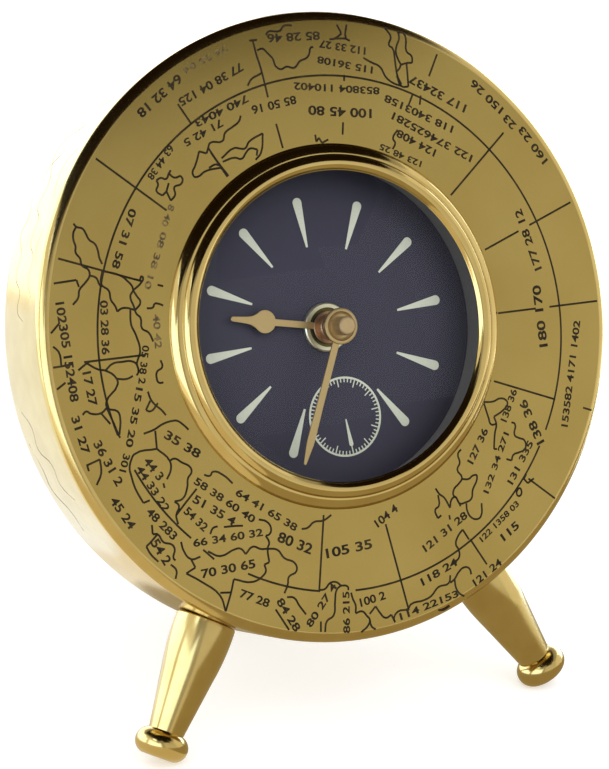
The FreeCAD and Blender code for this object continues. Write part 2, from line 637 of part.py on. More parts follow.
# Rubber band round the can. Its lips grip the edge of the hole in the drum's face.
band_inner = "Size.can_radius + Size.part_gap"
band_outer = "Size.insert_hole_radius - Size.part_gap"
band_base = "Size.insert_hole_radius - Size.part_gap - Size.band_lip_height"
lip_pitch = "Size.band_width / (Size.band_lip_count * 2 - 1)"
band_outline = [(band_inner, "-Size.band_top")]
lip_count = int(size("band_lip_count"))
band_outline.append((band_inner, "-Size.band_top - Size.band_width"))
for number in range(lip_count):
    low = 2 * (lip_count - 1 - number) + 1
    band_outline.append((band_outer, f"-Size.band_top - {low} * {lip_pitch}"))
    band_outline.append((band_outer, f"-Size.band_top - {low - 1} * {lip_pitch}"))
    if number < lip_count - 1:
        band_outline.append((band_base, f"-Size.band_top - {low - 1} * {lip_pitch}"))
        band_outline.append((band_base, f"-Size.band_top - {low - 2} * {lip_pitch}"))
keep("grip_band", turned("grip_band_body", band_outline))

# Washers and nut that clamp the movement to the dial


def ring_piece(label, inner, outer, low, high):
    """Plain turned ring between two radii and two heights."""
    return keep(label, turned(label + "_body", [
        (inner, low), (outer, low), (outer, high), (inner, high)]))


bushing_hole = "Size.bushing_radius + Size.bushing_hole_gap"
movement_face = can_floor_top + " - Size.can_floor - Size.dial_washer_thickness"
ring_piece("movement_washer", bushing_hole, "Size.dial_washer_radius",
           movement_face, movement_face + " + Size.dial_washer_thickness")
nut_base = "-Size.dial_depth + Size.nut_washer_thickness"
ring_piece("nut_washer", bushing_hole, "Size.nut_washer_radius", "-Size.dial_depth", nut_base)
keep("centre_nut", turned("centre_nut_body", [
    (bushing_hole, nut_base),
    ("Size.centre_nut_radius", nut_base),
    ("Size.centre_nut_radius", nut_base + " + Size.centre_nut_height - Size.centre_nut_bevel"),
    ("Size.centre_nut_radius - Size.centre_nut_bevel", nut_base + " + Size.centre_nut_height"),
    ("Size.centre_nut_radius - Size.centre_nut_rim", nut_base + " + Size.centre_nut_height"),
    ("Size.centre_nut_radius - Size.centre_nut_rim - Size.centre_nut_recess",
     nut_base + " + Size.centre_nut_height - Size.centre_nut_recess"),
    (bushing_hole, nut_base + " + Size.centre_nut_height - Size.centre_nut_recess"),
]))

# Hands, drawn pointing up the clock's own frame and then turned to the time


def hand(label, blade, level, hub, bore, angle):
    """Stamped blade joined to its turned hub, bored for its pipe."""
    blade_plate = sawn(label + "_blade", blade, "Size.hand_thickness", level)
    hub_body = turned(label + "_hub", hub)
    hole = rod(label + "_hole", bore, "Size.case_depth", at(0, 0, -size("case_depth") / 2))
    body = cut(label + "_body", joined(label + "_blank", [blade_plate, hub_body]), [hole])
    body.Placement = Placement(Vector(), Rotation(Vector(0, 0, 1), -size(angle)))
    return keep(label, body)


def mirrored(half):
    """Whole outline from its right half, drawn from the bottom up; an arc keeps its bulge."""
    left = []
    for place in range(len(half) - 1, -1, -1):
        x, y = half[place][:2]
        arc = half[place - 1][2:] if place > 0 else ()
        left.append(("-" + x, y) + arc)
    return half + left


hour_shoulder = ("(Size.hour_spade_radius * cos(Size.hour_spade_angle))",
                 "Size.hour_spade_place + Size.hour_spade_radius * sin(Size.hour_spade_angle)")
hour_neck = ("Size.hour_spade_place - sqrt(Size.hour_spade_radius * Size.hour_spade_radius"
             " - Size.hour_shaft_width * Size.hour_shaft_width / 4)")
hour_tip_curve = "(Size.hour_tip_width / 2 + Size.hand_fit)"
hour_half = [
    ("Size.hour_shaft_width / 2", "0"),
    ("Size.hour_shaft_width / 2", hour_neck, "Size.hour_spade_radius", -1),
    hour_shoulder + ("Size.hour_nose_curve", 1),
    ("Size.hour_tip_width / 2", "Size.hour_nose_place"),
    ("Size.hour_tip_width / 2", "Size.hour_hand_length - Size.hour_tip_width / 2",
     hour_tip_curve, -1),
]
hour_hub = [
    ("0", "Size.hour_hand_level"),
    ("Size.hour_hub_radius", "Size.hour_hand_level"),
    ("Size.hour_hub_radius", "Size.hour_hand_level + Size.hand_thickness"),
    ("Size.hour_collet_radius", "Size.hour_hand_level + Size.hand_thickness"),
    ("Size.hour_collet_radius",
     "Size.hour_hand_level + Size.hand_thickness + Size.hour_collet_height"),
    ("0", "Size.hour_hand_level + Size.hand_thickness + Size.hour_collet_height"),
]
hand("hour_hand", mirrored(hour_half), "Size.hour_hand_level", hour_hub,
     "Size.pipe_radius + Size.hand_fit", "hour_hand_angle")
minute_half = [
    ("Size.minute_shaft_width / 2", "0"),
    ("Size.minute_shaft_width / 2", "Size.minute_hub_radius"),
    ("Size.minute_belly_width / 2", "Size.minute_belly_place"),
    ("Size.minute_tip_width / 2", "Size.minute_hand_length"),
]
minute_hub = [
    ("0", "Size.minute_hand_level - Size.minute_collet_height"),
    ("Size.minute_collet_radius", "Size.minute_hand_level - Size.minute_collet_height"),
    ("Size.minute_collet_radius", "Size.minute_hand_level"),
    ("Size.minute_hub_radius", "Size.minute_hand_level"),
    ("Size.minute_hub_radius", "Size.minute_hand_level + Size.minute_hub_rise"),
    ("Size.minute_hub_radius - Size.minute_hub_rim",
     "Size.minute_hand_level + Size.minute_hub_rise"),
    ("Size.minute_hub_floor", "Size.minute_hand_level + Size.hand_thickness"),
    ("0", "Size.minute_hand_level + Size.hand_thickness"),
]
hand("minute_hand", mirrored(minute_half), "Size.minute_hand_level", minute_hub,
     "Size.cannon_radius + Size.hand_fit", "minute_hand_angle")

# Cap nut that holds the minute hand on the end of the cannon pipe
cap_base = "Size.minute_hand_level + Size.hand_thickness"
keep("hand_nut", turned("hand_nut_body", [
    ("Size.hand_thread_radius + Size.hand_fit", cap_base),
    ("Size.hand_nut_radius", cap_base),
    ("Size.hand_nut_radius", cap_base + " + Size.hand_nut_height - Size.hand_nut_bevel",
     "Size.hand_nut_bevel", -1),
    ("Size.hand_nut_radius - Size.hand_nut_bevel", cap_base + " + Size.hand_nut_height"),
    ("0", cap_base + " + Size.hand_nut_height"),
    ("0", cap_base + " + Size.hand_thread_length + Size.end_shake"),
    ("Size.hand_thread_radius + Size.hand_fit",
     cap_base + " + Size.hand_thread_length + Size.end_shake"),
]))

# Movement. Everything in it is placed by X, Y and a depth behind its front face.
face_level = value(movement_face)


def deep(depth):
    """Height of a depth behind the movement's front face."""
    return face_level - depth


def bar(name, radius, x, y, front, back):
    """Round bar of the movement between two depths."""
    item = rod(name, radius, f"{back} - ({front})")
    item.Placement = at(x, y, deep(value(back)))
    return item


def slab(name, left, low, width, height, front, back):
    """Rectangular slab of the movement between two depths."""
    item = block(name, width, height, f"{back} - ({front})")
    item.Placement = at(value(left), value(low), deep(value(back)))
    return item


def step_from(place, module, teeth_a, teeth_b, direction):
    """Centre of a wheel that meshes with one at place, in a direction from it."""
    distance = size(module) * (size(teeth_a) + size(teeth_b)) / 2
    angle = math.radians(size(direction))
    return Vector(place.x + distance * math.cos(angle), place.y + distance * math.sin(angle), 0)


centre = Vector(0, 0, 0)
third = step_from(centre, "train_module", "centre_teeth", "small_pinion_teeth", "third_angle")
seconds = step_from(third, "third_module", "third_teeth", "small_pinion_teeth",
                    "seconds_angle")
step = step_from(seconds, "seconds_module", "seconds_teeth", "large_pinion_teeth",
                 "step_angle")
rotor = step_from(step, "rotor_module", "step_teeth", "large_pinion_teeth", "rotor_angle")
motion = step_from(centre, "cannon_module", "cannon_teeth", "motion_teeth", "motion_angle")
setter = step_from(motion, "cannon_module", "motion_teeth", "cannon_teeth", "set_angle")


def mesh_phase(phase, teeth, place, other_teeth, other_place):
    """Turn of a second gear, in degrees, that puts its gap on the first gear's tooth."""
    bearing = math.degrees(math.atan2(other_place.y - place.y, other_place.x - place.x))
    past = (bearing - phase) * teeth / 360
    return bearing + 180 - (0.5 - past) * 360 / other_teeth


def teeth_wire(teeth, module, phase, level):
    """Closed outline of a gear at one level."""
    pitch_radius = teeth * module / 2
    pitch_angle = 360 / teeth
    root = pitch_radius - tooth_dedendum_share * module
    tip = pitch_radius + tooth_addendum_share * module
    points = []
    for tooth in range(int(teeth)):
        for radius, offset in ((root, -tooth_root_share / 2), (tip, -tooth_tip_share / 2),
                               (tip, tooth_tip_share / 2), (root, tooth_root_share / 2)):
            angle = math.radians(phase + (tooth + offset) * pitch_angle)
            points.append(Vector(radius * math.cos(angle), radius * math.sin(angle), level))
    return Part.makePolygon(points + points[:1])


def gear_disc(teeth, module, phase, place, front, back):
    """Toothed disc of the movement between two depths."""
    wire = teeth_wire(size(teeth), size(module), phase, deep(back))
    disc = Part.Face(wire).extrude(Vector(0, 0, back - front))
    disc.translate(place)
    return disc


def bar_shape(radius, place, front, back):
    """Round bar of a toothed piece between two depths."""
    return Part.makeCylinder(radius, back - front, Vector(place.x, place.y, deep(back)))


def toothed(label, solids, holes=()):
    """Piece with teeth: the union of its solids less its holes."""
    shape = solids[0].fuse(solids[1:]) if len(solids) > 1 else solids[0]
    if holes:
        shape = shape.cut(list(holes))
    item = doc.addObject("Part::Feature", label + "_body")
    item.Shape = shape
    return keep(label, item)


# Phases, worked out from the centre wheel outwards so that every pair is in mesh at rest
start_phase = 0.0
third_pinion_phase = mesh_phase(start_phase, size("centre_teeth"), centre,
                                size("small_pinion_teeth"), third)
seconds_pinion_phase = mesh_phase(third_pinion_phase, size("third_teeth"), third,
                                  size("small_pinion_teeth"), seconds)
step_pinion_phase = mesh_phase(seconds_pinion_phase, size("seconds_teeth"), seconds,
                               size("large_pinion_teeth"), step)
rotor_phase = mesh_phase(step_pinion_phase, size("step_teeth"), step,
                         size("large_pinion_teeth"), rotor)
motion_phase = mesh_phase(start_phase, size("cannon_teeth"), centre, size("motion_teeth"), motion)
hour_phase = mesh_phase(motion_phase, size("large_pinion_teeth"), motion,
                        size("hour_teeth"), centre)
setter_phase = mesh_phase(motion_phase, size("motion_teeth"), motion,
                          size("cannon_teeth"), setter)

arbor = size("arbor_radius")
wheel_thick = size("wheel_thickness")
pinion_thick = size("pinion_thickness")
level_step = size("level_step")
back_plate = size("movement_depth") - size("movement_wall")
back_boss = size("back_bearing_gap")
shake = size("end_shake")
arbor_start = size("movement_wall") + level_step + shake
arbor_end = back_plate - shake


def train_wheel(label, place, wheel, pinion, level):
    """Wheel with the pinion that drives or follows it, on one arbor."""
    wheel_teeth, wheel_module, wheel_phase = wheel
    pinion_teeth, pinion_module, pinion_phase, pinion_level = pinion
    low = min(level, pinion_level)
    return toothed(label, [
        gear_disc(wheel_teeth, wheel_module, wheel_phase, place, level, level + wheel_thick),
        gear_disc(pinion_teeth, pinion_module, pinion_phase, place,
                  pinion_level, pinion_level + pinion_thick),
        bar_shape(arbor + 2 * size("bearing_gap"), place, low, max(level, pinion_level)
                  + wheel_thick),
        bar_shape(arbor, place, arbor_start, arbor_end)])


third_level, seconds_level = size("third_level"), size("seconds_level")
step_level, centre_level = size("step_level"), size("centre_level")
train_wheel("third_wheel", third, ("third_teeth", "third_module", third_pinion_phase),
            ("small_pinion_teeth", "train_module", third_pinion_phase,
             centre_level - level_step), third_level)
train_wheel("seconds_wheel", seconds, ("seconds_teeth", "seconds_module", seconds_pinion_phase),
            ("small_pinion_teeth", "third_module", seconds_pinion_phase,
             third_level - level_step), seconds_level)
train_wheel("step_wheel", step, ("step_teeth", "rotor_module", step_pinion_phase),
            ("large_pinion_teeth", "seconds_module", step_pinion_phase,
             seconds_level - level_step), step_level)

# Rotor: a pinion on its arbor, with a ring magnet behind it
magnet_start = size("magnet_level")
magnet_end = magnet_start + size("magnet_thickness")
toothed("rotor_pinion", [
    gear_disc("large_pinion_teeth", "rotor_module", rotor_phase, rotor,
              step_level - level_step, step_level - level_step + pinion_thick),
    bar_shape(arbor, rotor, arbor_start, arbor_end)])
magnet = cut("magnet_ring",
             bar("magnet_disc", "Size.magnet_radius", rotor.x, rotor.y, "Size.magnet_level",
                 "(Size.magnet_level + Size.magnet_thickness)"),
             [bar("magnet_hole", "Size.arbor_radius + Size.hand_fit", rotor.x, rotor.y,
                  "Size.magnet_level - Size.cut_overrun",
                  "(Size.magnet_level + Size.magnet_thickness + Size.cut_overrun)")])
keep("rotor_magnet", magnet)

# Cannon pinion: the pipe for the minute hand, its pinion, and a seat for the centre wheel
cap_level = value(cap_base)
seat_front = centre_level - size("clutch_gap")
spring_front = centre_level + wheel_thick + size("clutch_gap")
spring_back = spring_front + size("clutch_spring_thickness")
toothed("cannon_pinion", [
    gear_disc("cannon_teeth", "cannon_module", start_phase, centre,
              size("cannon_level"), size("cannon_level") + size("cannon_thickness")),
    bar_shape(size("cannon_radius"), centre, face_level - cap_level, seat_front),
    bar_shape(size("hand_thread_radius"), centre,
              face_level - cap_level - size("hand_thread_length"), seat_front),
    bar_shape(size("clutch_seat_radius"), centre, seat_front - level_step, spring_back),
    bar_shape(arbor, centre, centre_level, arbor_end)])

# Centre wheel: slips on the cannon pinion's seat when the hands are set. A sprung washer
# behind it holds it there.
toothed("centre_wheel", [
    gear_disc("centre_teeth", "train_module", start_phase, centre,
              centre_level, centre_level + wheel_thick)],
    [bar_shape(size("clutch_seat_radius") + size("bearing_gap"), centre,
               seat_front - level_step, spring_back)])
keep("clutch_spring", cut(
    "clutch_spring_body",
    bar("clutch_spring_disc", "Size.clutch_spring_radius", 0, 0, f"{spring_front}",
        f"{spring_back}"),
    [bar("clutch_spring_hole", "Size.clutch_seat_radius + Size.hand_fit", 0, 0,
         "Size.centre_level", f"{spring_back} + Size.level_step")]))

# Hour wheel with its pipe, which turns round the cannon pipe inside the bushing
pipe_top = value("Size.hour_hand_level + Size.hand_thickness + Size.hour_collet_height"
                 " + Size.end_shake")
toothed("hour_wheel", [
    gear_disc("hour_teeth", "hour_module", hour_phase, centre, size("hour_wheel_level"),
              size("hour_wheel_level") + size("hour_wheel_thickness")),
    bar_shape(size("pipe_radius"), centre, face_level - pipe_top,
              size("hour_wheel_level") + size("hour_wheel_thickness"))],
    [bar_shape(size("cannon_radius") + size("pipe_gap"), centre,
               face_level - pipe_top - size("cut_overrun"),
               size("hour_wheel_level") + size("hour_wheel_thickness") + size("cut_overrun"))])

# Motion wheel: turns on a fixed post and carries the pinion that drives the hour wheel
motion_back = size("motion_wheel_level") + size("motion_wheel_thickness")
toothed("motion_wheel", [
    gear_disc("motion_teeth", "cannon_module", motion_phase, motion,
              size("motion_wheel_level"), motion_back),
    gear_disc("large_pinion_teeth", "hour_module", motion_phase, motion,
              size("motion_pinion_level"), size("motion_wheel_level"))],
    [bar_shape(size("post_radius") + size("bearing_gap"), motion, 0, size("movement_depth"))])

# Setting pinion with its shaft, and the knob pressed on it behind the movement
knob_front = size("movement_depth") + size("set_knob_gap")
knob_back = knob_front + size("set_knob_height")
toothed("set_pinion", [
    gear_disc("cannon_teeth", "cannon_module", setter_phase, setter, size("cannon_level"),
              size("cannon_level") + size("cannon_thickness")),
    bar_shape(size("set_shaft_radius"), setter, arbor_start, knob_back - level_step)])
knob_grooves = []
for number in range(int(size("set_knob_grooves"))):
    angle = math.radians(number * 360 / size("set_knob_grooves"))
    knob_grooves.append(bar(
        f"knob_groove_{number}", "Size.set_knob_groove",
        setter.x + size("set_knob_radius") * math.cos(angle),
        setter.y + size("set_knob_radius") * math.sin(angle),
        "Size.movement_depth",
        "(Size.movement_depth + Size.set_knob_gap + Size.set_knob_height + Size.cut_overrun)"))
knob_grooves.append(bar(
    "knob_bore", "Size.set_shaft_radius + Size.hand_fit", setter.x, setter.y,
    "Size.movement_depth",
    "(Size.movement_depth + Size.set_knob_gap + Size.set_knob_height - Size.level_step"
    " + Size.hand_fit)"))
knob_blank = bar("knob_blank", "Size.set_knob_radius", setter.x, setter.y,
                 "Size.movement_depth + Size.set_knob_gap",
                 "(Size.movement_depth + Size.set_knob_gap + Size.set_knob_height)")
keep("set_knob", cut("set_knob_body", knob_blank, knob_grooves))

# Movement case, front half: plate, side walls, threaded bushing, front bearings and post


cell_half = "(Size.battery_room + Size.movement_wall)"
battery_top = "(-Size.battery_drop + Size.battery_radius + Size.battery_gap)"


def case_half(name, front, back):
    """Block with rounded corners between two depths: works above, cell's room below."""
    thickness, level = f"{back} - ({front})", f"{movement_face} - {back}"
    corner = "Size.movement_corner"
    works = sawn(name + "_works_part", [
        ("-Size.movement_half", battery_top),
        ("Size.movement_half", battery_top),
        ("Size.movement_half", f"Size.movement_rise - {corner}", corner, -1),
        (f"Size.movement_half - {corner}", "Size.movement_rise"),
        (f"-Size.movement_half + {corner}", "Size.movement_rise", corner, -1),
        ("-Size.movement_half", f"Size.movement_rise - {corner}"),
    ], thickness, level)
    cell = sawn(name + "_cell_part", [
        (f"-{cell_half} + {corner}", "-Size.movement_drop"),
        (f"{cell_half} - {corner}", "-Size.movement_drop", corner, -1),
        (cell_half, f"-Size.movement_drop + {corner}"),
        (cell_half, "-Size.works_drop"),
        (f"-{cell_half}", "-Size.works_drop"),
        (f"-{cell_half}", f"-Size.movement_drop + {corner}", corner, -1),
    ], thickness, level)
    return joined(name, [works, cell])


inner_left = "(-Size.movement_half + Size.movement_wall)"
inner_width = "(2 * (Size.movement_half - Size.movement_wall))"
works_height = "(Size.movement_rise - Size.movement_wall + Size.works_drop)"
battery_low = "(-Size.movement_drop + Size.movement_wall)"
battery_height = f"({battery_top} - {battery_low})"


def hollows(name, front, back):
    """Room for the works and room for the battery, between two depths."""
    return [slab(name + "_works", inner_left, "-Size.works_drop", inner_width, works_height,
                 front, back),
            slab(name + "_battery", "-Size.battery_room", battery_low, "2 * Size.battery_room",
                 battery_height, front, back)]


split = "Size.movement_split"
front_half = case_half("front_half", "0", split)
front_hollows = hollows("front_hollow", "Size.movement_wall", "(Size.movement_split"
                        " + Size.cut_overrun)")
front_solids = [cut("front_half_hollowed", front_half, front_hollows),
                rod("bushing", "Size.bushing_radius",
                    f"{nut_base} + Size.centre_nut_height - Size.bushing_set_back"
                    f" - ({movement_face})", at(0, 0, face_level))]


def bearing(name, place, outer, bore, root, end, bore_end):
    """Boss and the hole in it for one arbor; depths may run forwards or backwards."""
    boss = bar(name + "_boss", outer, place.x, place.y, *sorted((root, end), key=value))
    hole = bar(name + "_bore", bore, place.x, place.y, *sorted((end, bore_end), key=value))
    return boss, hole


arbor_bore = "Size.arbor_radius + Size.bearing_gap"
wall_depth = "Size.movement_wall"
shallow = "(Size.movement_wall + Size.level_step)"
front_ends = {
    "third": (third, "(Size.motion_wheel_level + Size.wheel_thickness)"),
    "seconds": (seconds, "(Size.centre_level + Size.level_step * 2)"),
    "step": (step, "(Size.third_level + Size.wheel_thickness)"),
    "rotor": (rotor, "(Size.seconds_level + Size.level_step * 2)"),
}
front_holes = []
for name, (place, end) in front_ends.items():
    boss, hole = bearing("front_" + name, place, "Size.bearing_radius", arbor_bore,
                         wall_depth, end, shallow)
    front_solids.append(boss)
    front_holes.append(hole)
set_end = "(Size.cannon_level - Size.level_step)"
boss, hole = bearing("front_set", setter, "Size.bearing_radius",
                     "Size.set_shaft_radius + Size.bearing_gap", wall_depth, set_end, shallow)
front_solids.append(boss)
front_holes.append(hole)
front_solids.append(bar("motion_post", "Size.post_radius", motion.x, motion.y, wall_depth,
                        "(Size.motion_wheel_level + Size.motion_wheel_thickness"
                        " + Size.level_step)"))
front_holes.append(rod("pipe_hole", "Size.pipe_radius + Size.pipe_gap",
                       "Size.movement_depth + Size.cut_overrun",
                       at(0, 0, face_level - size("movement_wall") - size("cut_overrun"))))
keep("movement_front_case", cut("front_case_body", joined("front_case_solids", front_solids),
                                front_holes))

# Movement case, back half: side walls, back plate with the battery opening, back bearings
back_face = "Size.movement_depth"
back_half = case_half("back_half", split, back_face)
plate_inside = "(Size.movement_depth - Size.movement_wall)"
back_hollows = hollows("back_hollow", "(Size.movement_split - Size.cut_overrun)", plate_inside)
back_hollows.append(slab("battery_opening", "-Size.battery_room", battery_low,
                         "2 * Size.battery_room", battery_height, split,
                         "(Size.movement_depth + Size.cut_overrun)"))
back_solids = [cut("back_half_hollowed", back_half, back_hollows)]
back_ends = {
    "centre": (centre, "(Size.third_level + Size.wheel_thickness + Size.back_bearing_gap)"),
    "third": (third, "(Size.third_level + Size.wheel_thickness + Size.back_bearing_gap)"),
    "seconds": (seconds, "(Size.seconds_level + Size.wheel_thickness + Size.back_bearing_gap)"),
    "step": (step, "(Size.step_level + Size.wheel_thickness + Size.back_bearing_gap)"),
    "rotor": (rotor, "(Size.magnet_level + Size.magnet_thickness + Size.back_bearing_gap)"),
}
back_holes = []
for name, (place, end) in back_ends.items():
    boss, hole = bearing("back_" + name, place, "Size.bearing_radius", arbor_bore,
                         plate_inside, end, plate_inside)
    back_solids.append(boss)
    back_holes.append(hole)
board_posts = [
    (value("Size.board_left + Size.board_post_inset"),
     value("Size.board_low + Size.board_height - Size.board_post_inset")),
    (value("Size.board_left + Size.board_width - Size.board_post_inset"),
     value("Size.board_low + Size.board_post_inset")),
]
for number, (x, y) in enumerate(board_posts):
    back_solids.append(bar(f"board_post_{number}", "Size.board_post_radius", x, y,
                           "(Size.board_level + Size.board_thickness)", plate_inside))
back_holes.append(bar("set_hole", "Size.set_shaft_radius + Size.bearing_gap", setter.x, setter.y,
                      "Size.movement_split", "(Size.movement_depth + Size.cut_overrun)"))
keep("movement_back_case", cut("back_case_body", joined("back_case_solids", back_solids),
                               back_holes))

# Circuit board with its chip, and the quartz crystal that lies on it
board = slab("board_plate", "Size.board_left", "Size.board_low", "Size.board_width",
             "Size.board_height", "Size.board_level",
             "(Size.board_level + Size.board_thickness)")
board_middle = value("Size.board_left + Size.board_width / 2")
chip = bar("chip", "Size.chip_radius", board_middle,
           value("Size.board_low + Size.chip_rise"),
           "Size.board_level - Size.chip_height", "(Size.board_level + Size.board_thickness)")
keep("circuit_board", joined("circuit_board_body", [board, chip]))
crystal = rod("crystal_can", "Size.crystal_radius", "Size.crystal_length",
              at(board_middle - size("crystal_length") / 2,
                 value("Size.board_low + Size.crystal_rise"),
                 deep(size("board_level") - size("crystal_radius")),
                 Rotation(Vector(0, 1, 0), 90)))
keep("quartz_crystal", crystal)

# Step motor: coil on its bobbin, soft iron core through it, stator plate round the magnet


def coil_bar(name, radius, low, high):
    """Round bar along the coil's axis between two places on it."""
    return rod(name, radius, f"{high} - ({low})",
               at(-size("coil_place"), value(low), deep(size("coil_level")),
                  Rotation(Vector(1, 0, 0), -90)))


coil_low, coil_high = "Size.coil_low_end", "Size.coil_high_end"
winding_low = "(Size.coil_low_end + Size.coil_flange)"
winding_high = "(Size.coil_high_end - Size.coil_flange)"
core_level = value("Size.coil_level - Size.core_thickness / 2")
core_slot = block("core_slot", "Size.core_width + 2 * Size.core_gap",
                  "Size.coil_high_end - Size.coil_low_end + 2 * Size.cut_overrun",
                  "Size.core_thickness + 2 * Size.core_gap",
                  at(-size("coil_place") - size("core_width") / 2 - size("core_gap"),
                     value(coil_low) - size("cut_overrun"),
                     deep(core_level + size("core_thickness") + size("core_gap"))))
keep("coil_bobbin", cut("coil_bobbin_body", joined("bobbin_solids", [
    coil_bar("bobbin_tube", "Size.coil_tube_radius", coil_low, coil_high),
    coil_bar("bobbin_low_flange", "Size.coil_radius", coil_low, winding_low),
    coil_bar("bobbin_high_flange", "Size.coil_radius", winding_high, coil_high),
]), [core_slot]))
keep("coil_winding", cut(
    "coil_winding_body",
    coil_bar("winding_outside", "Size.coil_radius - Size.core_gap",
             winding_low + " + Size.hand_fit", "(" + winding_high + " - Size.hand_fit)"),
    [coil_bar("winding_inside", "Size.coil_tube_radius + Size.hand_fit", coil_low, coil_high)]))
keep("coil_core", block(
    "coil_core_bar", "Size.core_width",
    "Size.coil_high_end - Size.coil_low_end + 2 * Size.core_overhang", "Size.core_thickness",
    at(-size("coil_place") - size("core_width") / 2,
       value(coil_low) - size("core_overhang"),
       deep(core_level + size("core_thickness")))))
stator_left = "(-Size.coil_place - Size.core_width / 2)"
stator_level = "(Size.coil_level + Size.core_thickness / 2)"
stator_back = "(Size.coil_level + Size.core_thickness / 2 + Size.stator_thickness)"
stator_right = f"({rotor.x} + Size.stator_half_width)"
stator_low = "(Size.coil_low_end - Size.core_overhang)"
stator_high = f"({rotor.y} + Size.stator_half_width)"
stator_solids = [
    slab("stator_bar", f"({rotor.x} - Size.stator_half_width)", stator_low,
         "2 * Size.stator_half_width", f"{stator_high} - {stator_low}",
         stator_level, stator_back),
    slab("stator_low_arm", stator_left, stator_low,
         f"{stator_right} - {stator_left}", "Size.core_overhang - Size.core_gap",
         stator_level, stator_back),
    slab("stator_high_arm", stator_left, "(Size.coil_high_end + Size.core_gap)",
         f"{stator_right} - {stator_left}", "Size.core_overhang - Size.core_gap",
         stator_level, stator_back),
]
keep("stator", cut("stator_body", joined("stator_solids", stator_solids), [
    bar("stator_hole", "Size.stator_hole_radius", rotor.x, rotor.y,
        "Size.coil_level - Size.cut_overrun", "(Size.magnet_level + Size.movement_wall"
        " + Size.cut_overrun)")]))

# Battery: a cell that lies across the movement, nub to the right, seen from the front
battery_outline = [
    ("0", "-Size.battery_length / 2"),
    ("Size.battery_radius - Size.battery_edge", "-Size.battery_length / 2",
     "Size.battery_edge", -1),
    ("Size.battery_radius", "-Size.battery_length / 2 + Size.battery_edge"),
    ("Size.battery_radius", "Size.battery_length / 2 - Size.battery_edge",
     "Size.battery_edge", -1),
    ("Size.battery_radius - Size.battery_edge", "Size.battery_length / 2"),
    ("Size.battery_nub_radius", "Size.battery_length / 2"),
    ("Size.battery_nub_radius", "Size.battery_length / 2 + Size.battery_nub"),
    ("0", "Size.battery_length / 2 + Size.battery_nub"),
]
battery = turned("battery_body", battery_outline)
battery_middle = -size("battery_nub") / 2
battery.Placement = at(battery_middle, -size("battery_drop"), deep(size("battery_level")),
                       Rotation(Vector(0, 1, 0), 90))
keep("battery", battery)

# Battery contacts: sprung strips at the two ends, each with a lug into the works
contact_low = "(-Size.battery_drop - Size.contact_width / 2)"


def contact(label, left):
    """Upright strip between the cell's end and the end wall."""
    strip = slab(label + "_strip", left, contact_low, "Size.contact_thickness",
                 "Size.contact_width", "Size.battery_level - Size.contact_height / 2",
                 "(Size.battery_level + Size.contact_height / 2)")
    return keep(label, strip)


battery_end = "(Size.battery_length / 2 + Size.battery_nub / 2)"
contact("positive_contact", f"({battery_end} + Size.hand_fit)")
contact("negative_contact", f"(-{battery_end} - Size.contact_thickness - Size.hand_fit)")

# Turn the insert clock in its hole, lean every piece back and lift it onto its feet, with
# the whole centred front to back
doc.recompute()
faults = [item.Label for item in doc.Objects
          if "Invalid" in item.State or "Error" in item.State]
if faults:
    raise RuntimeError("failed objects: " + ", ".join(faults))
if len({piece.Label for piece in pieces}) != len(pieces):
    raise RuntimeError("two pieces share a name")


def placed_shape(piece, stand):
    """Copy of a piece's shape where the standing clock has it."""
    shape = piece.Shape.copy()
    shape.Placement = stand.multiply(shape.Placement)
    return shape


reach = [placed_shape(piece, lifted).optimalBoundingBox(False, False)
         for piece in pieces[:stand_piece_count]]
middle_back = (min(box.YMin for box in reach) + max(box.YMax for box in reach)) / 2
stand = Placement(Vector(0, -middle_back, face_height), stand_turn)
insert_place = Placement(Vector(), Rotation(Vector(0, 0, 1), size("insert_angle")))
for piece in pieces[:stand_piece_count]:
    piece.Placement = stand.multiply(piece.Placement)
for piece in pieces[stand_piece_count:]:
    piece.Placement = stand.multiply(insert_place).multiply(piece.Placement)
doc.recompute()

for piece in pieces:
    shape = piece.Shape
    if shape.isNull() or not shape.isValid() or not shape.Solids:
        raise RuntimeError("bad shape: " + piece.Label)
    if "Invalid" in piece.State or "Error" in piece.State:
        raise RuntimeError("failed piece: " + piece.Label)

os.makedirs("parts", exist_ok=True)
for piece in pieces:
    piece.Shape.exportStep(f"parts/{piece.Label}.step")

print("pieces", len(pieces))
print("face middle", [round(number, 4) for number in stand.Base])
print("rear leg length", round(rear_leg_length, 3))
for name, place in (("third", third), ("seconds", seconds), ("step", step), ("rotor", rotor),
                    ("motion", motion), ("setter", setter)):
    turned_place = insert_place.multVec(place)
    print(name, round(turned_place.x, 4), round(turned_place.y, 4))
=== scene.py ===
import bpy
import math
from mathutils import Matrix, Vector


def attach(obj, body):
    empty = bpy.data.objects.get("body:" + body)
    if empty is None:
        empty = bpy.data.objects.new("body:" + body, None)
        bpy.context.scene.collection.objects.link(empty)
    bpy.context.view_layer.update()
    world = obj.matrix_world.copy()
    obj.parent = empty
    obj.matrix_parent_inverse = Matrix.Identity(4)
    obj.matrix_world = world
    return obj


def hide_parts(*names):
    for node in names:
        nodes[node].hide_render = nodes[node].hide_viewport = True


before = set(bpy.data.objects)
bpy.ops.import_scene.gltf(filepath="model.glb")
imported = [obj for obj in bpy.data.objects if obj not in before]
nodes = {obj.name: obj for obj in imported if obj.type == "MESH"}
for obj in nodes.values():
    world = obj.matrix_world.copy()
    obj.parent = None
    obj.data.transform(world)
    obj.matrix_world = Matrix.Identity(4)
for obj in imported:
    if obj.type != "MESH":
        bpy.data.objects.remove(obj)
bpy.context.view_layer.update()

# Drum. A brass shell, spun over a former and turned in one piece: flat face, small round
# edge, plain side wall and a large round to the back. Everything else is fixed to it.
# The face is satin and lacquered, the side wall and the rounds are buffed bright.

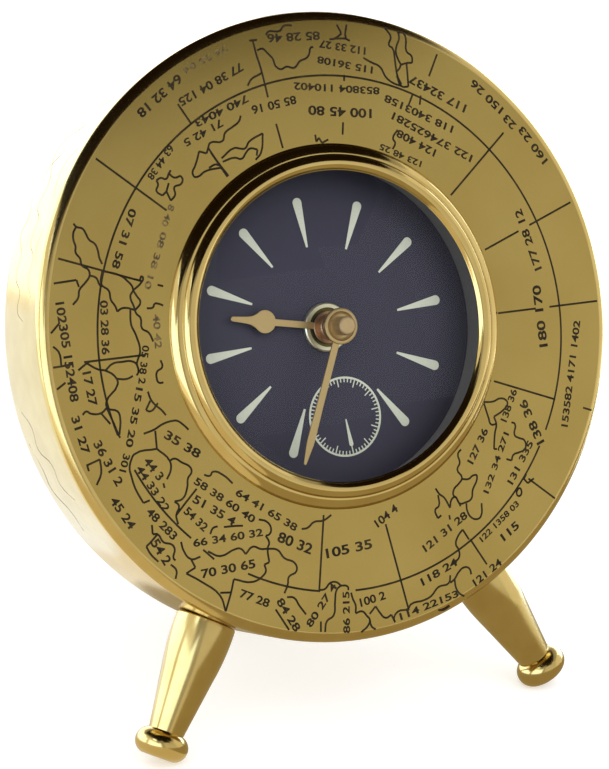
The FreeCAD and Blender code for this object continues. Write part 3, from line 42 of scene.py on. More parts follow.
MM = 0.001
WELD, SMOOTH_ANGLE = 0.001 * MM, math.radians(28)
LEAN = math.radians(16)
FACE_MIDDLE = Vector((0, -29.0097, 98.7245)) * MM
CLOCK = Matrix.Translation(FACE_MIDDLE) @ Matrix.Rotation(math.pi / 2 - LEAN, 4, "X")


def deselect():
    """Leave edit mode and select nothing."""
    if bpy.context.object and bpy.context.object.mode != "OBJECT":
        bpy.ops.object.mode_set(mode="OBJECT")
    bpy.ops.object.select_all(action="DESELECT")


def arc(centre, radius, start, end, steps):
    """Points (radius, height) of an arc in an outline, angles in degrees."""
    points = []
    for step in range(steps + 1):
        angle = math.radians(start + (end - start) * step / steps)
        points.append((centre[0] + radius * math.cos(angle), centre[1] + radius * math.sin(angle)))
    return points


def bulge(start, end, radius, side, steps):
    """Points of an arc between two outline points that bulges left (+1) or right (-1)."""
    first, last = Vector(start), Vector(end)
    chord = last - first
    half = chord.length / 2
    depth = math.sqrt(max(radius * radius - half * half, 0))
    left = Vector((-chord.y, chord.x)).normalized()
    centre = (first + last) / 2 - left * side * depth
    begin = math.degrees(math.atan2(first.y - centre.y, first.x - centre.x))
    finish = math.degrees(math.atan2(last.y - centre.y, last.x - centre.x))
    turn = (finish - begin + 180) % 360 - 180
    return arc(centre, radius, begin, begin + turn, steps)


def turned(name, outline, segments=192, closed=True, start_solid=False, end_solid=False):
    """Piece turned about Z: a ring drawn out along an outline of (radius, height)."""
    deselect()
    radius, height = outline[0]
    bpy.ops.mesh.primitive_circle_add(vertices=segments, radius=radius * MM,
                                      fill_type="NOTHING", location=(0, 0, height * MM))
    piece = bpy.context.object
    piece.name = name
    bpy.ops.object.transform_apply(location=True, rotation=False, scale=False)
    bpy.ops.object.mode_set(mode="EDIT")
    bpy.ops.mesh.select_all(action="SELECT")
    if start_solid:
        bpy.ops.mesh.edge_face_add()
    for (here, low), (there, high) in zip(outline, outline[1:]):
        bpy.ops.mesh.extrude_edges_move(
            TRANSFORM_OT_translate={"value": (0, 0, (high - low) * MM)})
        ratio = there / here
        bpy.ops.transform.resize(value=(ratio, ratio, 1), center_override=(0, 0, 0))
    if end_solid:
        bpy.ops.mesh.merge(type="CENTER")
    bpy.ops.mesh.select_all(action="SELECT")
    if closed:
        bpy.ops.mesh.remove_doubles(threshold=WELD)
    bpy.ops.mesh.normals_make_consistent(inside=False)
    bpy.ops.object.mode_set(mode="OBJECT")
    bpy.ops.object.shade_smooth_by_angle(angle=SMOOTH_ANGLE)
    return piece


def settle(piece, place, body, slot, *replaced):
    """Put a piece where the clock has it, let it ride on its body and stand for its nodes."""
    piece.data.transform(place)
    piece.matrix_world = Matrix.Identity(4)
    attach(piece, body)
    if replaced:
        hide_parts(*replaced)
    return piece


def colour(code):
    """Linear colour of an sRGB hex value."""
    parts = [int(code[at:at + 2], 16) / 255 for at in (0, 2, 4)]
    return tuple([c / 12.92 if c <= 0.04045 else ((c + 0.055) / 1.055) ** 2.4
                  for c in parts] + [1.0])


def finish(name):
    """Empty material and its node tree."""
    made = bpy.data.materials.new(name)
    made.use_nodes = True
    made.node_tree.nodes.clear()
    return made, made.node_tree


def add(tree, kind, inputs=None, **settings):
    """Add a node. An input is a value, or the socket of another node to link to it."""
    made = tree.nodes.new(kind)
    for name, value in settings.items():
        setattr(made, name, value)
    for name, value in (inputs or {}).items():
        if isinstance(value, bpy.types.NodeSocket):
            tree.links.new(value, made.inputs[name])
        else:
            made.inputs[name].default_value = value
    return made


def per_metre(millimetres):
    """Noise scale whose features are about so many millimetres across."""
    return 1 / (millimetres * MM)


def patchy(name, tones, size, detail, roughness, ends=(0, 1), metallic=0.0, specular=0.5,
           relief=None):
    """Material that wanders between two tones, and between two roughnesses if it gets a pair.

    Its patches have a size in millimetres. Relief is a grain: size, detail, strength, depth.
    """
    made, branch = finish(name)
    spot = add(branch, "ShaderNodeTexCoord").outputs["Object"]
    patches = add(branch, "ShaderNodeTexNoise", {
        "Vector": spot, "Scale": per_metre(size), "Detail": detail}).outputs["Fac"]
    ramp = add(branch, "ShaderNodeValToRGB", {"Fac": patches})
    for element, position, code in zip(ramp.color_ramp.elements, ends, tones):
        element.position = position
        element.color = colour(code)
    if isinstance(roughness, tuple):
        roughness = add(branch, "ShaderNodeMapRange", {
            "Value": patches, "To Min": roughness[0], "To Max": roughness[1]}).outputs["Result"]
    surface = add(branch, "ShaderNodeBsdfPrincipled", {
        "Base Color": ramp.outputs["Color"], "Roughness": roughness, "Metallic": metallic,
        "Specular IOR Level": specular})
    if relief:
        grain_size, grain_detail, strength, depth = relief
        fine = add(branch, "ShaderNodeTexNoise", {
            "Vector": spot, "Scale": per_metre(grain_size), "Detail": grain_detail})
        bump = add(branch, "ShaderNodeBump", {
            "Height": fine.outputs["Fac"], "Strength": strength, "Distance": depth * MM})
        branch.links.new(bump.outputs["Normal"], surface.inputs["Normal"])
    add(branch, "ShaderNodeOutputMaterial", {"Surface": surface.outputs["BSDF"]})
    return made


# Satin lacquered brass: a mid gold that scatters the room, faintly cloudy where the lacquer
# lies thicker, with a very fine grain from the emery.
satin_brass = patchy("satin_lacquered_brass", ("B29852", "BBA25B"), 26, 3.0, (0.22, 0.28),
                     ends=(0.3, 0.7), metallic=1.0, relief=(0.5, 2.0, 0.05, 0.02))

# Polished brass: mirror bright, with the faint waviness and haze that a buffing wheel leaves.
polished_brass = patchy("polished_brass", ("CFB36C", "D8BE78"), 9, 4.0, (0.07, 0.13),
                        ends=(0.3, 0.7), metallic=1.0, relief=(5, 1.0, 0.08, 0.05))

# Buffed brass: softer than the polish, its reflections have blurred edges.
buffed_brass = patchy("buffed_brass", ("CBAF68", "D4BA75"), 7, 5.0, (0.14, 0.2),
                      ends=(0.3, 0.7), metallic=1.0)

CASE_RADIUS, CASE_DEPTH, CASE_WALL = 76, 30, 3
FRONT_ROUND, BACK_ROUND, INNER_ROUND = 2.5, 7, 3
HOLE_RADIUS, HOLE_EDGE = 42.4, 0.15
COVER_RADIUS, COVER_THICKNESS, LEDGE_WIDTH, LEDGE_HEIGHT = 67, 2, 6, 4
drum_outline = (
    [(HOLE_RADIUS, -HOLE_EDGE), (HOLE_RADIUS + HOLE_EDGE, 0)]
    + arc((CASE_RADIUS - FRONT_ROUND, -FRONT_ROUND), FRONT_ROUND, 90, 0, 12)
    + arc((CASE_RADIUS - BACK_ROUND, -CASE_DEPTH + BACK_ROUND), BACK_ROUND, 0, -90, 20)
    + [(COVER_RADIUS + HOLE_EDGE, -CASE_DEPTH), (COVER_RADIUS, -CASE_DEPTH + HOLE_EDGE),
       (COVER_RADIUS, -CASE_DEPTH + COVER_THICKNESS),
       (COVER_RADIUS - LEDGE_WIDTH, -CASE_DEPTH + COVER_THICKNESS),
       (COVER_RADIUS - LEDGE_WIDTH, -CASE_DEPTH + COVER_THICKNESS + LEDGE_HEIGHT),
       (CASE_RADIUS - CASE_WALL, -CASE_DEPTH + COVER_THICKNESS + LEDGE_HEIGHT)]
    + arc((CASE_RADIUS - CASE_WALL - INNER_ROUND, -CASE_WALL - INNER_ROUND), INNER_ROUND,
          0, 90, 6)
    + [(HOLE_RADIUS, -CASE_WALL), (HOLE_RADIUS, -HOLE_EDGE)])
drum = turned("drum", drum_outline, segments=256)
drum.data.materials.append(buffed_brass)
drum.data.materials.append(satin_brass)
for face in drum.data.polygons:
    if face.normal.z > 0.999 and face.center.z > -HOLE_EDGE * MM:
        face.material_index = 1
settle(drum, CLOCK, "case", "engraved_brass", "case_shell")

# Engraving on the face: a map of the world seen from above the pole, its meridians and one
# circle of latitude, with numbers round it. Cut by a pantograph and filled with dark wax,
# which stands a hair proud of the lacquer. Places are in millimetres from the map's middle.

MAP_TURN = Matrix.Rotation(math.radians(-7.6), 4, "Z")
MAP = CLOCK @ MAP_TURN @ Matrix.Translation(Vector((-1.12, -1.76, 0)) * MM)
LINE_WIDTH, WAX_HEIGHT = 0.5, 0.02

# Engraving wax: almost black brown, dull, a little uneven where it has worn out of the cut.
engraving_wax = patchy("engraving_wax", ("1E1708", "352A10"), 3.5, 4.0, (0.5, 0.8),
                       ends=(0.42, 0.72), specular=0.2)

# Worn wax: brown, thin enough for the brass to show through.
worn_wax = patchy("worn_engraving_wax", ("43361A", "6E5C2F"), 1.2, 4.0, 0.5, ends=(0.4, 0.6),
                  specular=0.3)

# Coasts and borders, as they run round the north pole
coasts = [
    [(-32.8, 43.2), (-32.3, 44.4), (-29.1, 45), (-28.5, 46.9), (-26.6, 48.4), (-24.9, 49.8),
     (-24.4, 51.2)],
    [(-32.8, 43.2), (-33.2, 41.9), (-35.1, 42.3), (-35.7, 40.1), (-36.2, 38.7), (-36.8, 37.3),
     (-36.4, 36.2), (-35.3, 36.4), (-33.7, 37.6), (-30.5, 38.5), (-29.1, 38.7)],
    [(-32.8, 43.2), (-30.5, 40.2), (-27.6, 36.8)],
    [(-29.4, 40.9), (-26, 43.5), (-24.6, 43.4), (-23.3, 43.5), (-22.3, 45.1), (-18.7, 47.3),
     (-19.2, 42.6), (-20.6, 40.9)],
    [(-29.1, 40.1), (-26, 41.2), (-24.2, 41), (-23, 42.6), (-22.1, 43.5), (-20.1, 43.4),
     (-20.3, 41.9)],
    [(-32.6, 38.5), (-30.9, 39.4), (-30, 39.2)],
    [(-42.3, 37.6), (-42.8, 36.8), (-41.4, 35.9), (-39.8, 36.4), (-39.3, 35.5), (-39.8, 34.4),
     (-41.4, 33.7), (-41.2, 31.9), (-42.3, 30.5), (-43.4, 32.6), (-44.4, 31.6), (-45.9, 32.6),
     (-45.5, 34.1), (-45.9, 35.1), (-44.8, 35.7), (-43.5, 35.5), (-42.8, 36.8)],
    [(-42.8, 34.6), (-43.4, 32.6)],
    [(-22.1, 69.1), (-20.1, 69.4)],
    [(-21.2, 69.1), (-20.3, 65.9), (-19.4, 63.4), (-18.8, 61.5), (-17.3, 55.9)],
    [(-20.1, 66.9), (-18.7, 67.4), (-17.6, 66.6), (-16, 65.1), (-15.3, 63.5), (-13.9, 62.8),
     (-12.4, 63.5), (-10.6, 63.3), (-9.9, 63.7), (-8.9, 65), (-7.1, 65.9), (-6.4, 66.9),
     (-6, 68.4), (-5.3, 68.6)],
    [(-17.8, 70.7), (-17.1, 71.6), (-15.6, 71.7), (-14.2, 71.9), (-13.1, 73.2), (-11, 73.4)],
    [(-22.6, 58.4), (-21.5, 60.1), (-19.6, 61.2), (-18.9, 61.7)],
    [(1, 74.4), (2.2, 72.3), (0.4, 71), (-1, 70.7)],
    [(3.6, 74.6), (3.5, 71.2), (4.5, 70.7)],
    [(0.4, 71), (3.5, 71.2)],
    [(8.1, 66.8), (10.1, 65.9), (12.7, 64.8), (14.2, 62.5), (16.1, 61.2), (18.6, 60.5)],
    [(14, 74.4), (14.7, 73.7), (15.6, 72.3), (15.1, 70.3), (16.1, 69.6), (16.7, 66.9),
     (17, 64.8), (17.4, 63), (18.5, 60.9)],
    [(17.6, 73.7), (17.9, 72.1), (17.2, 70.3), (17, 68.7), (17.8, 66.6), (18.3, 65.7),
     (17, 63.7)],
    [(17.6, 73.5), (19, 73.5), (19.7, 72.3), (19.9, 69.1), (21.3, 68), (21.5, 66.4),
     (19.9, 66.2), (18.3, 65.7)],
    [(19.9, 66.2), (20.1, 64.1), (20.4, 60.5), (18.5, 60.5), (17.2, 63)],
    [(21.5, 58.5), (20.4, 55.9)], [(23.8, 58.5), (23.5, 56.2)], [(2.9, 62.4), (2.9, 60.9)],
    [(17.4, 49.8), (16.1, 47.6), (16.7, 46.6), (16, 45)],
    [(-4.9, 47.6), (-4.6, 45.9), (-3.9, 46.9), (-3.1, 45.7), (-1.4, 46.6)],
    [(-66.4, 24.4), (-65.7, 23.7), (-64.2, 23.3), (-63.4, 22.2), (-62.6, 20.8), (-61.2, 19.9),
     (-60.5, 18.5), (-60.1, 16.7), (-59.4, 15.3)],
    [(-65.7, 23.7), (-66.4, 22.4), (-66.4, 20.6), (-65.9, 19.2), (-65.9, 17.8), (-64.8, 16.4),
     (-64.4, 14.9), (-62.8, 13.9), (-62.5, 12.6), (-63.5, 11), (-65, 9.2), (-65.3, 7.4),
     (-66.6, 5.8)],
    [(-71.2, 10.6), (-65.7, 11.5), (-65.1, 9.9)],
    [(-62.5, 12.6), (-60.9, 12.1), (-60.1, 10.6), (-59.5, 10)],
    [(-59.4, 13.7), (-59.6, 10.6), (-57.8, 9.2), (-57.3, 7.1), (-56.2, 5.6), (-55.7, 4.4),
     (-54.8, 5.1), (-53.4, 5.3), (-51.6, 4.9)],
    [(-59.4, 13.7), (-55.1, 12.8), (-53.4, 11.7), (-51.8, 9.6), (-52.5, 8.1), (-51.6, 5.6),
     (-51, 4), (-50, 3.1), (-49.6, 0.6), (-48, -0.3), (-46.8, -2.4)],
    [(-50.1, 11.7), (-49.8, 12.8), (-49.3, 12.3), (-49.8, 11.2), (-51.8, 9.4), (-50.9, 8.1),
     (-50, 6.7), (-51.2, 4.9)],
    [(-54.4, 12.6), (-50.1, 11.7)],
    [(-52.5, 4.9), (-52.3, 1.4), (-51.2, -0.8), (-50.1, -4.7), (-50.5, -6.1), (-50.9, -7.6),
     (-50.5, -9.4), (-51, -10.3)],
    [(-45.7, 10.8), (-44.3, 10.5)],
    [(-48.4, 5.3), (-46.9, 5.5), (-46.4, 6.4), (-45.5, 6.4), (-44.3, 6)],
    [(-63.9, -7.3), (-48.7, -5.5)],
    [(-63.7, -7.3), (-60.3, -9), (-58.7, -9.2), (-55.9, -11.1), (-55.7, -12.4), (-58.5, -16.5),
     (-58.2, -17.8), (-55.7, -18.6), (-55.1, -20), (-55.3, -24)],
    [(-58.7, -9.2), (-56.9, -7.6), (-54.8, -7.2), (-51.6, -7.2), (-50.7, -8.3), (-50.5, -9.7)],
    [(-55.9, -11.1), (-53.4, -11.1), (-51.9, -10.4)],
    [(-65.3, -9.2), (-63.7, -7.9), (-62.6, -7.2)],
    [(-71.4, -3.8), (-70, -5.1), (-69.4, -8.3), (-66.9, -7.8)],
    [(-71.4, -8.6), (-69.4, -8.3)], [(-71.9, -0.8), (-70, 1.4)], [(-70.5, -13.6), (-68.4, -12)],
    [(-64.3, -19.4), (-63.4, -18.6), (-62.3, -19.1), (-59.8, -19), (-58.4, -17.8),
     (-56.6, -21.5), (-55.5, -24), (-55.1, -24.7)],
    [(-59.8, -19), (-57.5, -21.5)],
    [(-45, -6.7), (-44.6, -8.3), (-45.9, -9.4), (-46, -10.8), (-45.5, -11.9), (-44.3, -11.9)],
    [(-48.2, -14), (-47.6, -15.6), (-46.6, -16.9), (-44.8, -18.3), (-43.7, -19.5)],
    [(-47.6, -16.1), (-48.7, -18.3), (-47.6, -18.6), (-45.7, -16.7)],
    [(-49.3, -23.8), (-46.6, -22.8), (-44.4, -21.5), (-41.9, -20.8), (-40.9, -20.8),
     (-39.4, -21.7), (-38, -22.9)],
    [(-46.4, -23.1), (-46, -27.3), (-51.6, -28.5), (-52.3, -29.6), (-52.8, -31.9),
     (-52.5, -33.1), (-51.4, -36.4), (-49.4, -39.8), (-47.8, -39.2)],
    [(-46, -27.3), (-42.8, -30.1), (-42.5, -32.1), (-43.5, -34.4)],
    [(-42.8, -30.1), (-41.6, -29.6), (-39.8, -30.5), (-37.6, -31.7), (-37.3, -32.8),
     (-38.2, -34.2), (-38.4, -36.4), (-39.6, -39), (-41.6, -39.6), (-40.5, -40.6),
     (-41.2, -42.8), (-40.7, -44.9)],
    [(-36, -36.7), (-38.7, -39.8), (-41.2, -42.8)], [(-44.4, -35.3), (-44.1, -36.4)],
    [(-63.4, -31), (-60.1, -29.6), (-59.8, -32.8), (-60.9, -35.5)], [(-63.2, -31), (-62.8, -32.3)],
    [(-47.3, -44.9), (-47.1, -47.1), (-45.9, -47.1), (-44.4, -49), (-42.3, -49.6),
     (-41.6, -50.6), (-41.9, -52.8), (-41.4, -53.3)],
    [(-45.9, -47.1), (-47.6, -48.9), (-48.7, -49.9), (-47.6, -51.7), (-45.7, -53.5)],
    [(-42.6, -54.2), (-41.2, -55.6), (-41.4, -57.6)],
    [(-40, -49), (-39.4, -51), (-37.5, -53.1), (-35.1, -52.6)],
    [(-37.5, -53.1), (-36.4, -55.1), (-38.7, -56.4), (-34.8, -58.5), (-30.1, -61.9),
     (-28.7, -65.6), (-27.3, -61.2), (-30.1, -61.2)],
    [(-34.4, -51), (-31.6, -53.3)],
    [(-33.2, -51.4), (-30.1, -52.6), (-26, -51), (-24.8, -51), (-23.5, -52.3), (-21.7, -50.6),
     (-19.6, -51.2), (-17.6, -51.2), (-15.3, -51.5), (-13.5, -53.5), (-10.6, -54.9),
     (-10.3, -56.7), (-12.3, -58), (-12.6, -59.8), (-13.5, -61.9)],
    [(-34.1, -33.5), (-32.6, -33.7), (-31.9, -32.8), (-29.1, -33.7), (-26.8, -35.6)],
    [(-32.6, -47.4), (-31.9, -46), (-30.7, -45.6)],
    [(-29.1, -45.8), (-26, -45.6), (-24.2, -45.6)],
    [(-27.3, -61.2), (-26.6, -58.1), (-21.7, -58.9), (-18.9, -57.4), (-18.3, -56.4),
     (-18.7, -54.9), (-17.4, -54.4), (-17.8, -51), (-17.4, -49.8), (-18.3, -48.1),
     (-17.4, -47.8), (-16.9, -46.5), (-18, -44.8), (-20.1, -44.2)],
    [(-8.9, -46.7), (-7.4, -46.5), (-5.6, -45.1), (-3.1, -44.8), (-1, -43.5)],
    [(-4.2, -61.4), (-2.8, -61.2), (-1.4, -59.8), (0.1, -59.6), (1.5, -60.5), (0.4, -61.4),
     (-0.1, -64.2), (-0.5, -67.6), (-2.3, -68.9), (-2.8, -71.5)],
    [(-3.9, -68.9), (-3.9, -71.4)],
    [(1.5, -60.5), (3.3, -60.8), (3.5, -61.7)],
    [(4.2, -62.3), (4.7, -63.9), (5.4, -65.3), (5.4, -67.3), (7.2, -66.9), (8.5, -68.1),
     (9.2, -68.9), (8.8, -70.3), (6.9, -71.9)],
    [(9.2, -67.6), (10.8, -65.8), (11.9, -67.3), (13.5, -68.7), (15.1, -68), (16.1, -69.9),
     (15.8, -68.9), (16.9, -67.3), (19.7, -66.7), (20.4, -65.7), (24, -64.8), (26, -63.9),
     (28.1, -61.7), (31, -60.8), (31.4, -58.9)],
    [(9.2, -68.9), (9.7, -70.6), (10.8, -71.4)],
    [(-15.8, -65.6), (-12.3, -70.6)], [(-12.8, -62.8), (-11, -63), (-9.6, -64.9), (-7.8, -67.1)],
    [(31.4, -60.8), (32.6, -59.9), (33.7, -58.3), (35.3, -57.1), (36.7, -57.4), (37.3, -58.9)],
    [(32.6, -59.9), (33, -62.1), (34, -63.5), (35.3, -64.2)],
    [(28.1, -67.4), (29.6, -67.3), (31.2, -66.4)],
    [(36.7, -50.3), (34.9, -47.8), (33.5, -49.6), (33, -51.4), (33.7, -52.6), (34, -54.2),
     (33.3, -55.3), (31.9, -55.6)],
    [(34.6, -28.1), (33.7, -29.2), (34.2, -31.4), (33.5, -33.1), (34.8, -35.1), (33.7, -36.7),
     (32.6, -37.8), (32.4, -39.4), (33.1, -39.9), (34.2, -41.4), (35.6, -41.2), (37.4, -40.3),
     (37.8, -38.1), (39, -35.6), (39, -34.4), (37.8, -34.6), (36.7, -35.4), (34.8, -35.4)],
    [(36, -41.4), (36.2, -43.1), (37.4, -44.9), (39.2, -45.3), (40.1, -44.6), (40.3, -41.4)],
    [(27.4, -37.6), (28.5, -39), (29.8, -39.9), (31.4, -42.4), (31.9, -40.3), (33, -39.6)],
    [(28.1, -39.2), (28.3, -41.9), (27.3, -42.8), (28, -44.9), (29, -44.2)],
    [(33.1, -39.8), (34.4, -42.1)], [(31.2, -44.2), (31.4, -45.3)],
    [(47.4, -30.6), (48.9, -31), (49.4, -29.6), (51, -29), (52.8, -28.1), (52.6, -26),
     (51, -25.4), (49.8, -24.7), (49.9, -21.9), (48.9, -21.5)],
    [(44.8, -28.1), (43.9, -28.1), (44, -26), (44.2, -24), (44.6, -22), (43.9, -20.1),
     (46.4, -18.6), (47.8, -16.9), (47.4, -16), (45.5, -15.6), (43.9, -16.3), (40.8, -16.5)],
    [(41, -16.5), (42.4, -20.4), (43.1, -22), (44.6, -21.9)],
    [(53.1, -34.4), (52.4, -35.6), (53.5, -36.7), (55.3, -35.5)],
    [(51, -37.8), (50.3, -38.9), (50.6, -39.9), (51.5, -39.6), (51.5, -38.1), (51, -37.8)],
]
# Meridians: angle clockwise from the top in degrees, inner and outer radius
meridians = [
    (-57, 51.7, 72.6), (43, 47, 69), (63, 46.7, 57.5), (63, 61, 74.5), (83, 45.6, 56.5),
    (83, 60.5, 74.6), (104.4, 45.4, 63.6), (104.4, 72, 74.6), (123.5, 64.4, 73.6),
    (143.6, 62.4, 70.3), (163.5, 48, 70), (-176, 43.6, 62), (2.9, 48, 51), (22.4, 68.5, 74.5),
    (-37.3, 46, 53), (-37.3, 61, 66.8), (-76.9, 51, 72), (-17, 46, 52)]
# Circle of latitude: middle, radius, and the angles between which it is cut
PARALLEL_MIDDLE, PARALLEL_RADIUS, PARALLEL_STEP = Vector((1.4, 0.1)), 62, 2
parallels = [(-22.3, 203), (211.3, 231.2), (246.9, 264.9), (273.7, 333.7)]
meridian_lines = []
for angle, inner, outer in meridians:
    turn = math.radians(angle)
    meridian_lines.append([(math.sin(turn) * inner, math.cos(turn) * inner),
                           (math.sin(turn) * outer, math.cos(turn) * outer)])
for start, end in parallels:
    steps = round((end - start) / PARALLEL_STEP)
    meridian_lines.append([(PARALLEL_MIDDLE + Vector(point))[:] for point in
                           arc((0, 0), PARALLEL_RADIUS, start, end, steps)])


SHARP_TURN = math.radians(75)


def parted(path):
    """A path cut in two wherever it turns sharply."""
    pieces, start = [], 0
    for at in range(1, len(path) - 1):
        before = Vector(path[at]) - Vector(path[at - 1])
        after = Vector(path[at + 1]) - Vector(path[at])
        if before.angle(after) > SHARP_TURN:
            pieces.append(path[start:at + 1])
            start = at
    return pieces + [path[start:]]


def pick(piece):
    """Select one piece alone and make it the active one."""
    deselect()
    piece.select_set(True)
    bpy.context.view_layer.objects.active = piece


def solid_of(curve):
    """Object made from a curve and turned into a mesh."""
    shape = bpy.data.objects.new(curve.name, curve)
    bpy.context.scene.collection.objects.link(shape)
    pick(shape)
    bpy.ops.object.convert(target="MESH")
    return bpy.context.object


def drawn_line(name, paths, width, smooth=False):
    """Round line along each path of (x, y) or (x, y, z) points in millimetres."""
    curve = bpy.data.curves.new(name, "CURVE")
    curve.dimensions = "3D"
    curve.bevel_depth = width / 2 * MM
    curve.bevel_resolution = 1
    curve.resolution_u = 4
    curve.use_fill_caps = True
    if smooth:
        paths = [piece for path in paths for piece in parted(path)]
    for path in paths:
        spline = curve.splines.new("BEZIER" if smooth else "POLY")
        points = spline.bezier_points if smooth else spline.points
        points.add(len(path) - 1)
        for point, spot in zip(points, path):
            where = Vector(tuple(spot) + (0,) * (3 - len(spot))) * MM
            point.co = where if smooth else where.to_4d()
            if smooth:
                point.handle_left_type = point.handle_right_type = "AUTO"
    return solid_of(curve)


for name, paths, smooth in (("map_coasts", coasts, True), ("map_meridians", meridian_lines, False)):
    lines = drawn_line(name, paths, LINE_WIDTH, smooth)
    lines.data.transform(Matrix.Diagonal((1, 1, WAX_HEIGHT / (LINE_WIDTH / 2), 1)))
    lines.data.materials.append(engraving_wax)
    settle(lines, MAP, "case", "engraved_brass")

# Numbers: text, x, y of its middle, direction of reading, length and height in millimetres
map_numbers = [
    ("64 32 18", -45, 54.8, 222, 14, 2.3), ("77 38 04 125", -32, 58.2, 210.7, 18.6, 2.1),
    ("63 44 38", -44.8, 39.3, 234, 9.5, 1.8), ("71 42 5", -34, 46.7, 209.6, 11, 1.9),
    ("740 4043", -29.3, 52.1, 207, 15, 1.9), ("85 50 16", -15.7, 54.2, 195.3, 12, 2.1),
    ("853804 110402", 1, 59, 180, 23, 1.8), ("100 45 80", 1.8, 53.4, 180, 17, 2.3),
    ("85 28 46", -10.5, 70.7, 186.4, 14, 2.1), ("112 33 27", 2.5, 69, 175, 12.5, 1.9),
    ("115 36108", 3.2, 64.8, 173.3, 15, 1.8), ("117 32437", 28.5, 59.2, 156.6, 17, 2.2),
    ("118 3403158", 23.3, 54, 159.8, 20, 1.9), ("122 374625281", 27, 48.4, 156.2, 24, 2),
    ("124 408", 22.5, 46.8, 156.3, 11.5, 2), ("123 48 25", 18.2, 43.6, 160.8, 12, 1.6),
    ("160 23", 55.5, 47.7, 131, 11, 2.1), ("23", 48.8, 53.2, 137, 3.8, 2.1),
    ("150 26", 42.3, 59.2, 141, 11, 2.1), ("177 28 12", 54, 24, 111.8, 16, 2.2),
    ("180 170", 57.3, 5, 97.7, 15.5, 2.5), ("153582 4171 1402", 66.2, -9.3, 81.7, 27, 2),
    ("138 36", 48.2, -17.3, 68, 8.5, 1.9), ("138 36", 54.7, -21.5, 116.6, 12, 2.4),
    ("131 335", 51.4, -31.5, 59.4, 12, 1.9), ("132 34 271", 44.5, -31.5, 68, 16, 1.7),
    ("127 36", 39.3, -27.3, 62, 9.5, 2), ("121 31 28", 30, -48.2, 35.3, 14.5, 2),
    ("122 1358 03", 45.3, -46, 40.6, 14, 1.6), ("115", 48.3, -48.5, 38, 5.7, 2.1),
    ("121 24", 41.8, -58.5, 35, 9.3, 1.9), ("118 24", 28.3, -58, 26.8, 11, 2),
    ("114 22153", 25.5, -66, 18, 17, 1.8), ("100 2", 10, -64, 14, 7, 2.1),
    ("105 35", 3.7, -51.7, 9.9, 12.5, 2.4), ("80 32", -10.6, -50, -21, 9.5, 2.6),
    ("104 4", 13.8, -44, 36, 7, 2.1), ("80 27 4", -3.7, -65, 54, 12, 1.9),
    ("86 215", 2.9, -67, 91, 10, 1.9), ("84 28", -12.4, -67, -56.9, 9, 2.1),
    ("77 28", -21.2, -62.8, -20.5, 8, 2.1), ("70 30 65", -28, -55.6, 8.7, 14, 2.2),
    ("66 34 60 32", -28, -48.3, 7, 18, 1.9), ("54 32", -36.2, -43.8, -42, 7, 2.1),
    ("51 35 4", -31.5, -41.8, -29.3, 12, 2.1), ("58 38 60 40", -28.8, -39.5, -32.5, 18, 1.9),
    ("64 41 65 38", -18, -42, -30, 18, 1.9), ("35 38", -39.5, -26.3, -30, 10, 2.2),
    ("44 3", -46.8, -31.9, -50, 6, 2.2), ("44 33 22", -47, -36.5, -55, 12.5, 2),
    ("48 283", -44.8, -44.7, -44, 9.5, 2.1), ("54 2", -45, -51.2, -57, 6.5, 2.4),
    ("45 24", -54.5, -42, -54, 8.5, 2.2), ("36 31 2", -58, -30.5, -60, 11.5, 2.2),
    ("31 27", -64.8, -24, -72, 9, 2.1), ("102305 152408", -68, -5, -81, 23, 2.2),
    ("17 27", -62.5, -13.4, -78, 8, 2.2), ("03 28 36", -58.8, 0.7, -88, 12.5, 2),
    ("07 31 58", -54, 21.3, -108, 14.5, 2), ("05 38 2", -49.2, -7.8, -97, 9, 1.8),
    ("15 35 20", -51.6, -20, -101, 14, 1.8), ("301", -54, -30.5, -105, 4.2, 1.8)]
worn_numbers = [
    ("76 25 04", -33.5, 64, 209, 12.5, 1.6), ("8 40", -43, 27, -112, 5.4, 1.6),
    ("08 38 10", -46.2, 16.4, -108, 14, 1.6), ("40 42", -45.8, 0, -86, 8, 1.8)]
NUMBER_WEIGHT = 0.026


def numbers(name, table, material):
    """Text objects made flat meshes, each stretched to its length and height, and joined."""
    made = []
    for text, x, y, angle, length, height in table:
        deselect()
        bpy.ops.object.text_add()
        bpy.context.object.data.body = text
        bpy.context.object.data.offset = NUMBER_WEIGHT
        bpy.context.object.data.extrude = 0.005
        bpy.ops.object.convert(target="MESH")
        label = bpy.context.object
        corners = [Vector(corner) for corner in label.bound_box]
        low = Vector([min(c[axis] for c in corners) for axis in range(3)])
        high = Vector([max(c[axis] for c in corners) for axis in range(3)])
        reach = high - low
        sized = Matrix.Diagonal((length / reach.x * MM, height / reach.y * MM,
                                 WAX_HEIGHT / reach.z * MM, 1))
        spot = Matrix.Translation(Vector((x, y, WAX_HEIGHT / 2)) * MM)
        label.data.transform(spot @ Matrix.Rotation(math.radians(angle), 4, "Z") @ sized
                             @ Matrix.Translation(-(low + high) / 2))
        label.matrix_world = Matrix.Identity(4)
        made.append(label)
    deselect()
    for label in made:
        label.select_set(True)
    bpy.context.view_layer.objects.active = made[0]
    bpy.ops.object.join()
    joined = bpy.context.object
    joined.name = name
    joined.data.materials.clear()
    joined.data.materials.append(material)
    settle(joined, MAP, "case", "engraved_brass")


numbers("map_numbers", map_numbers, engraving_wax)
numbers("worn_map_numbers", worn_numbers, worn_wax)

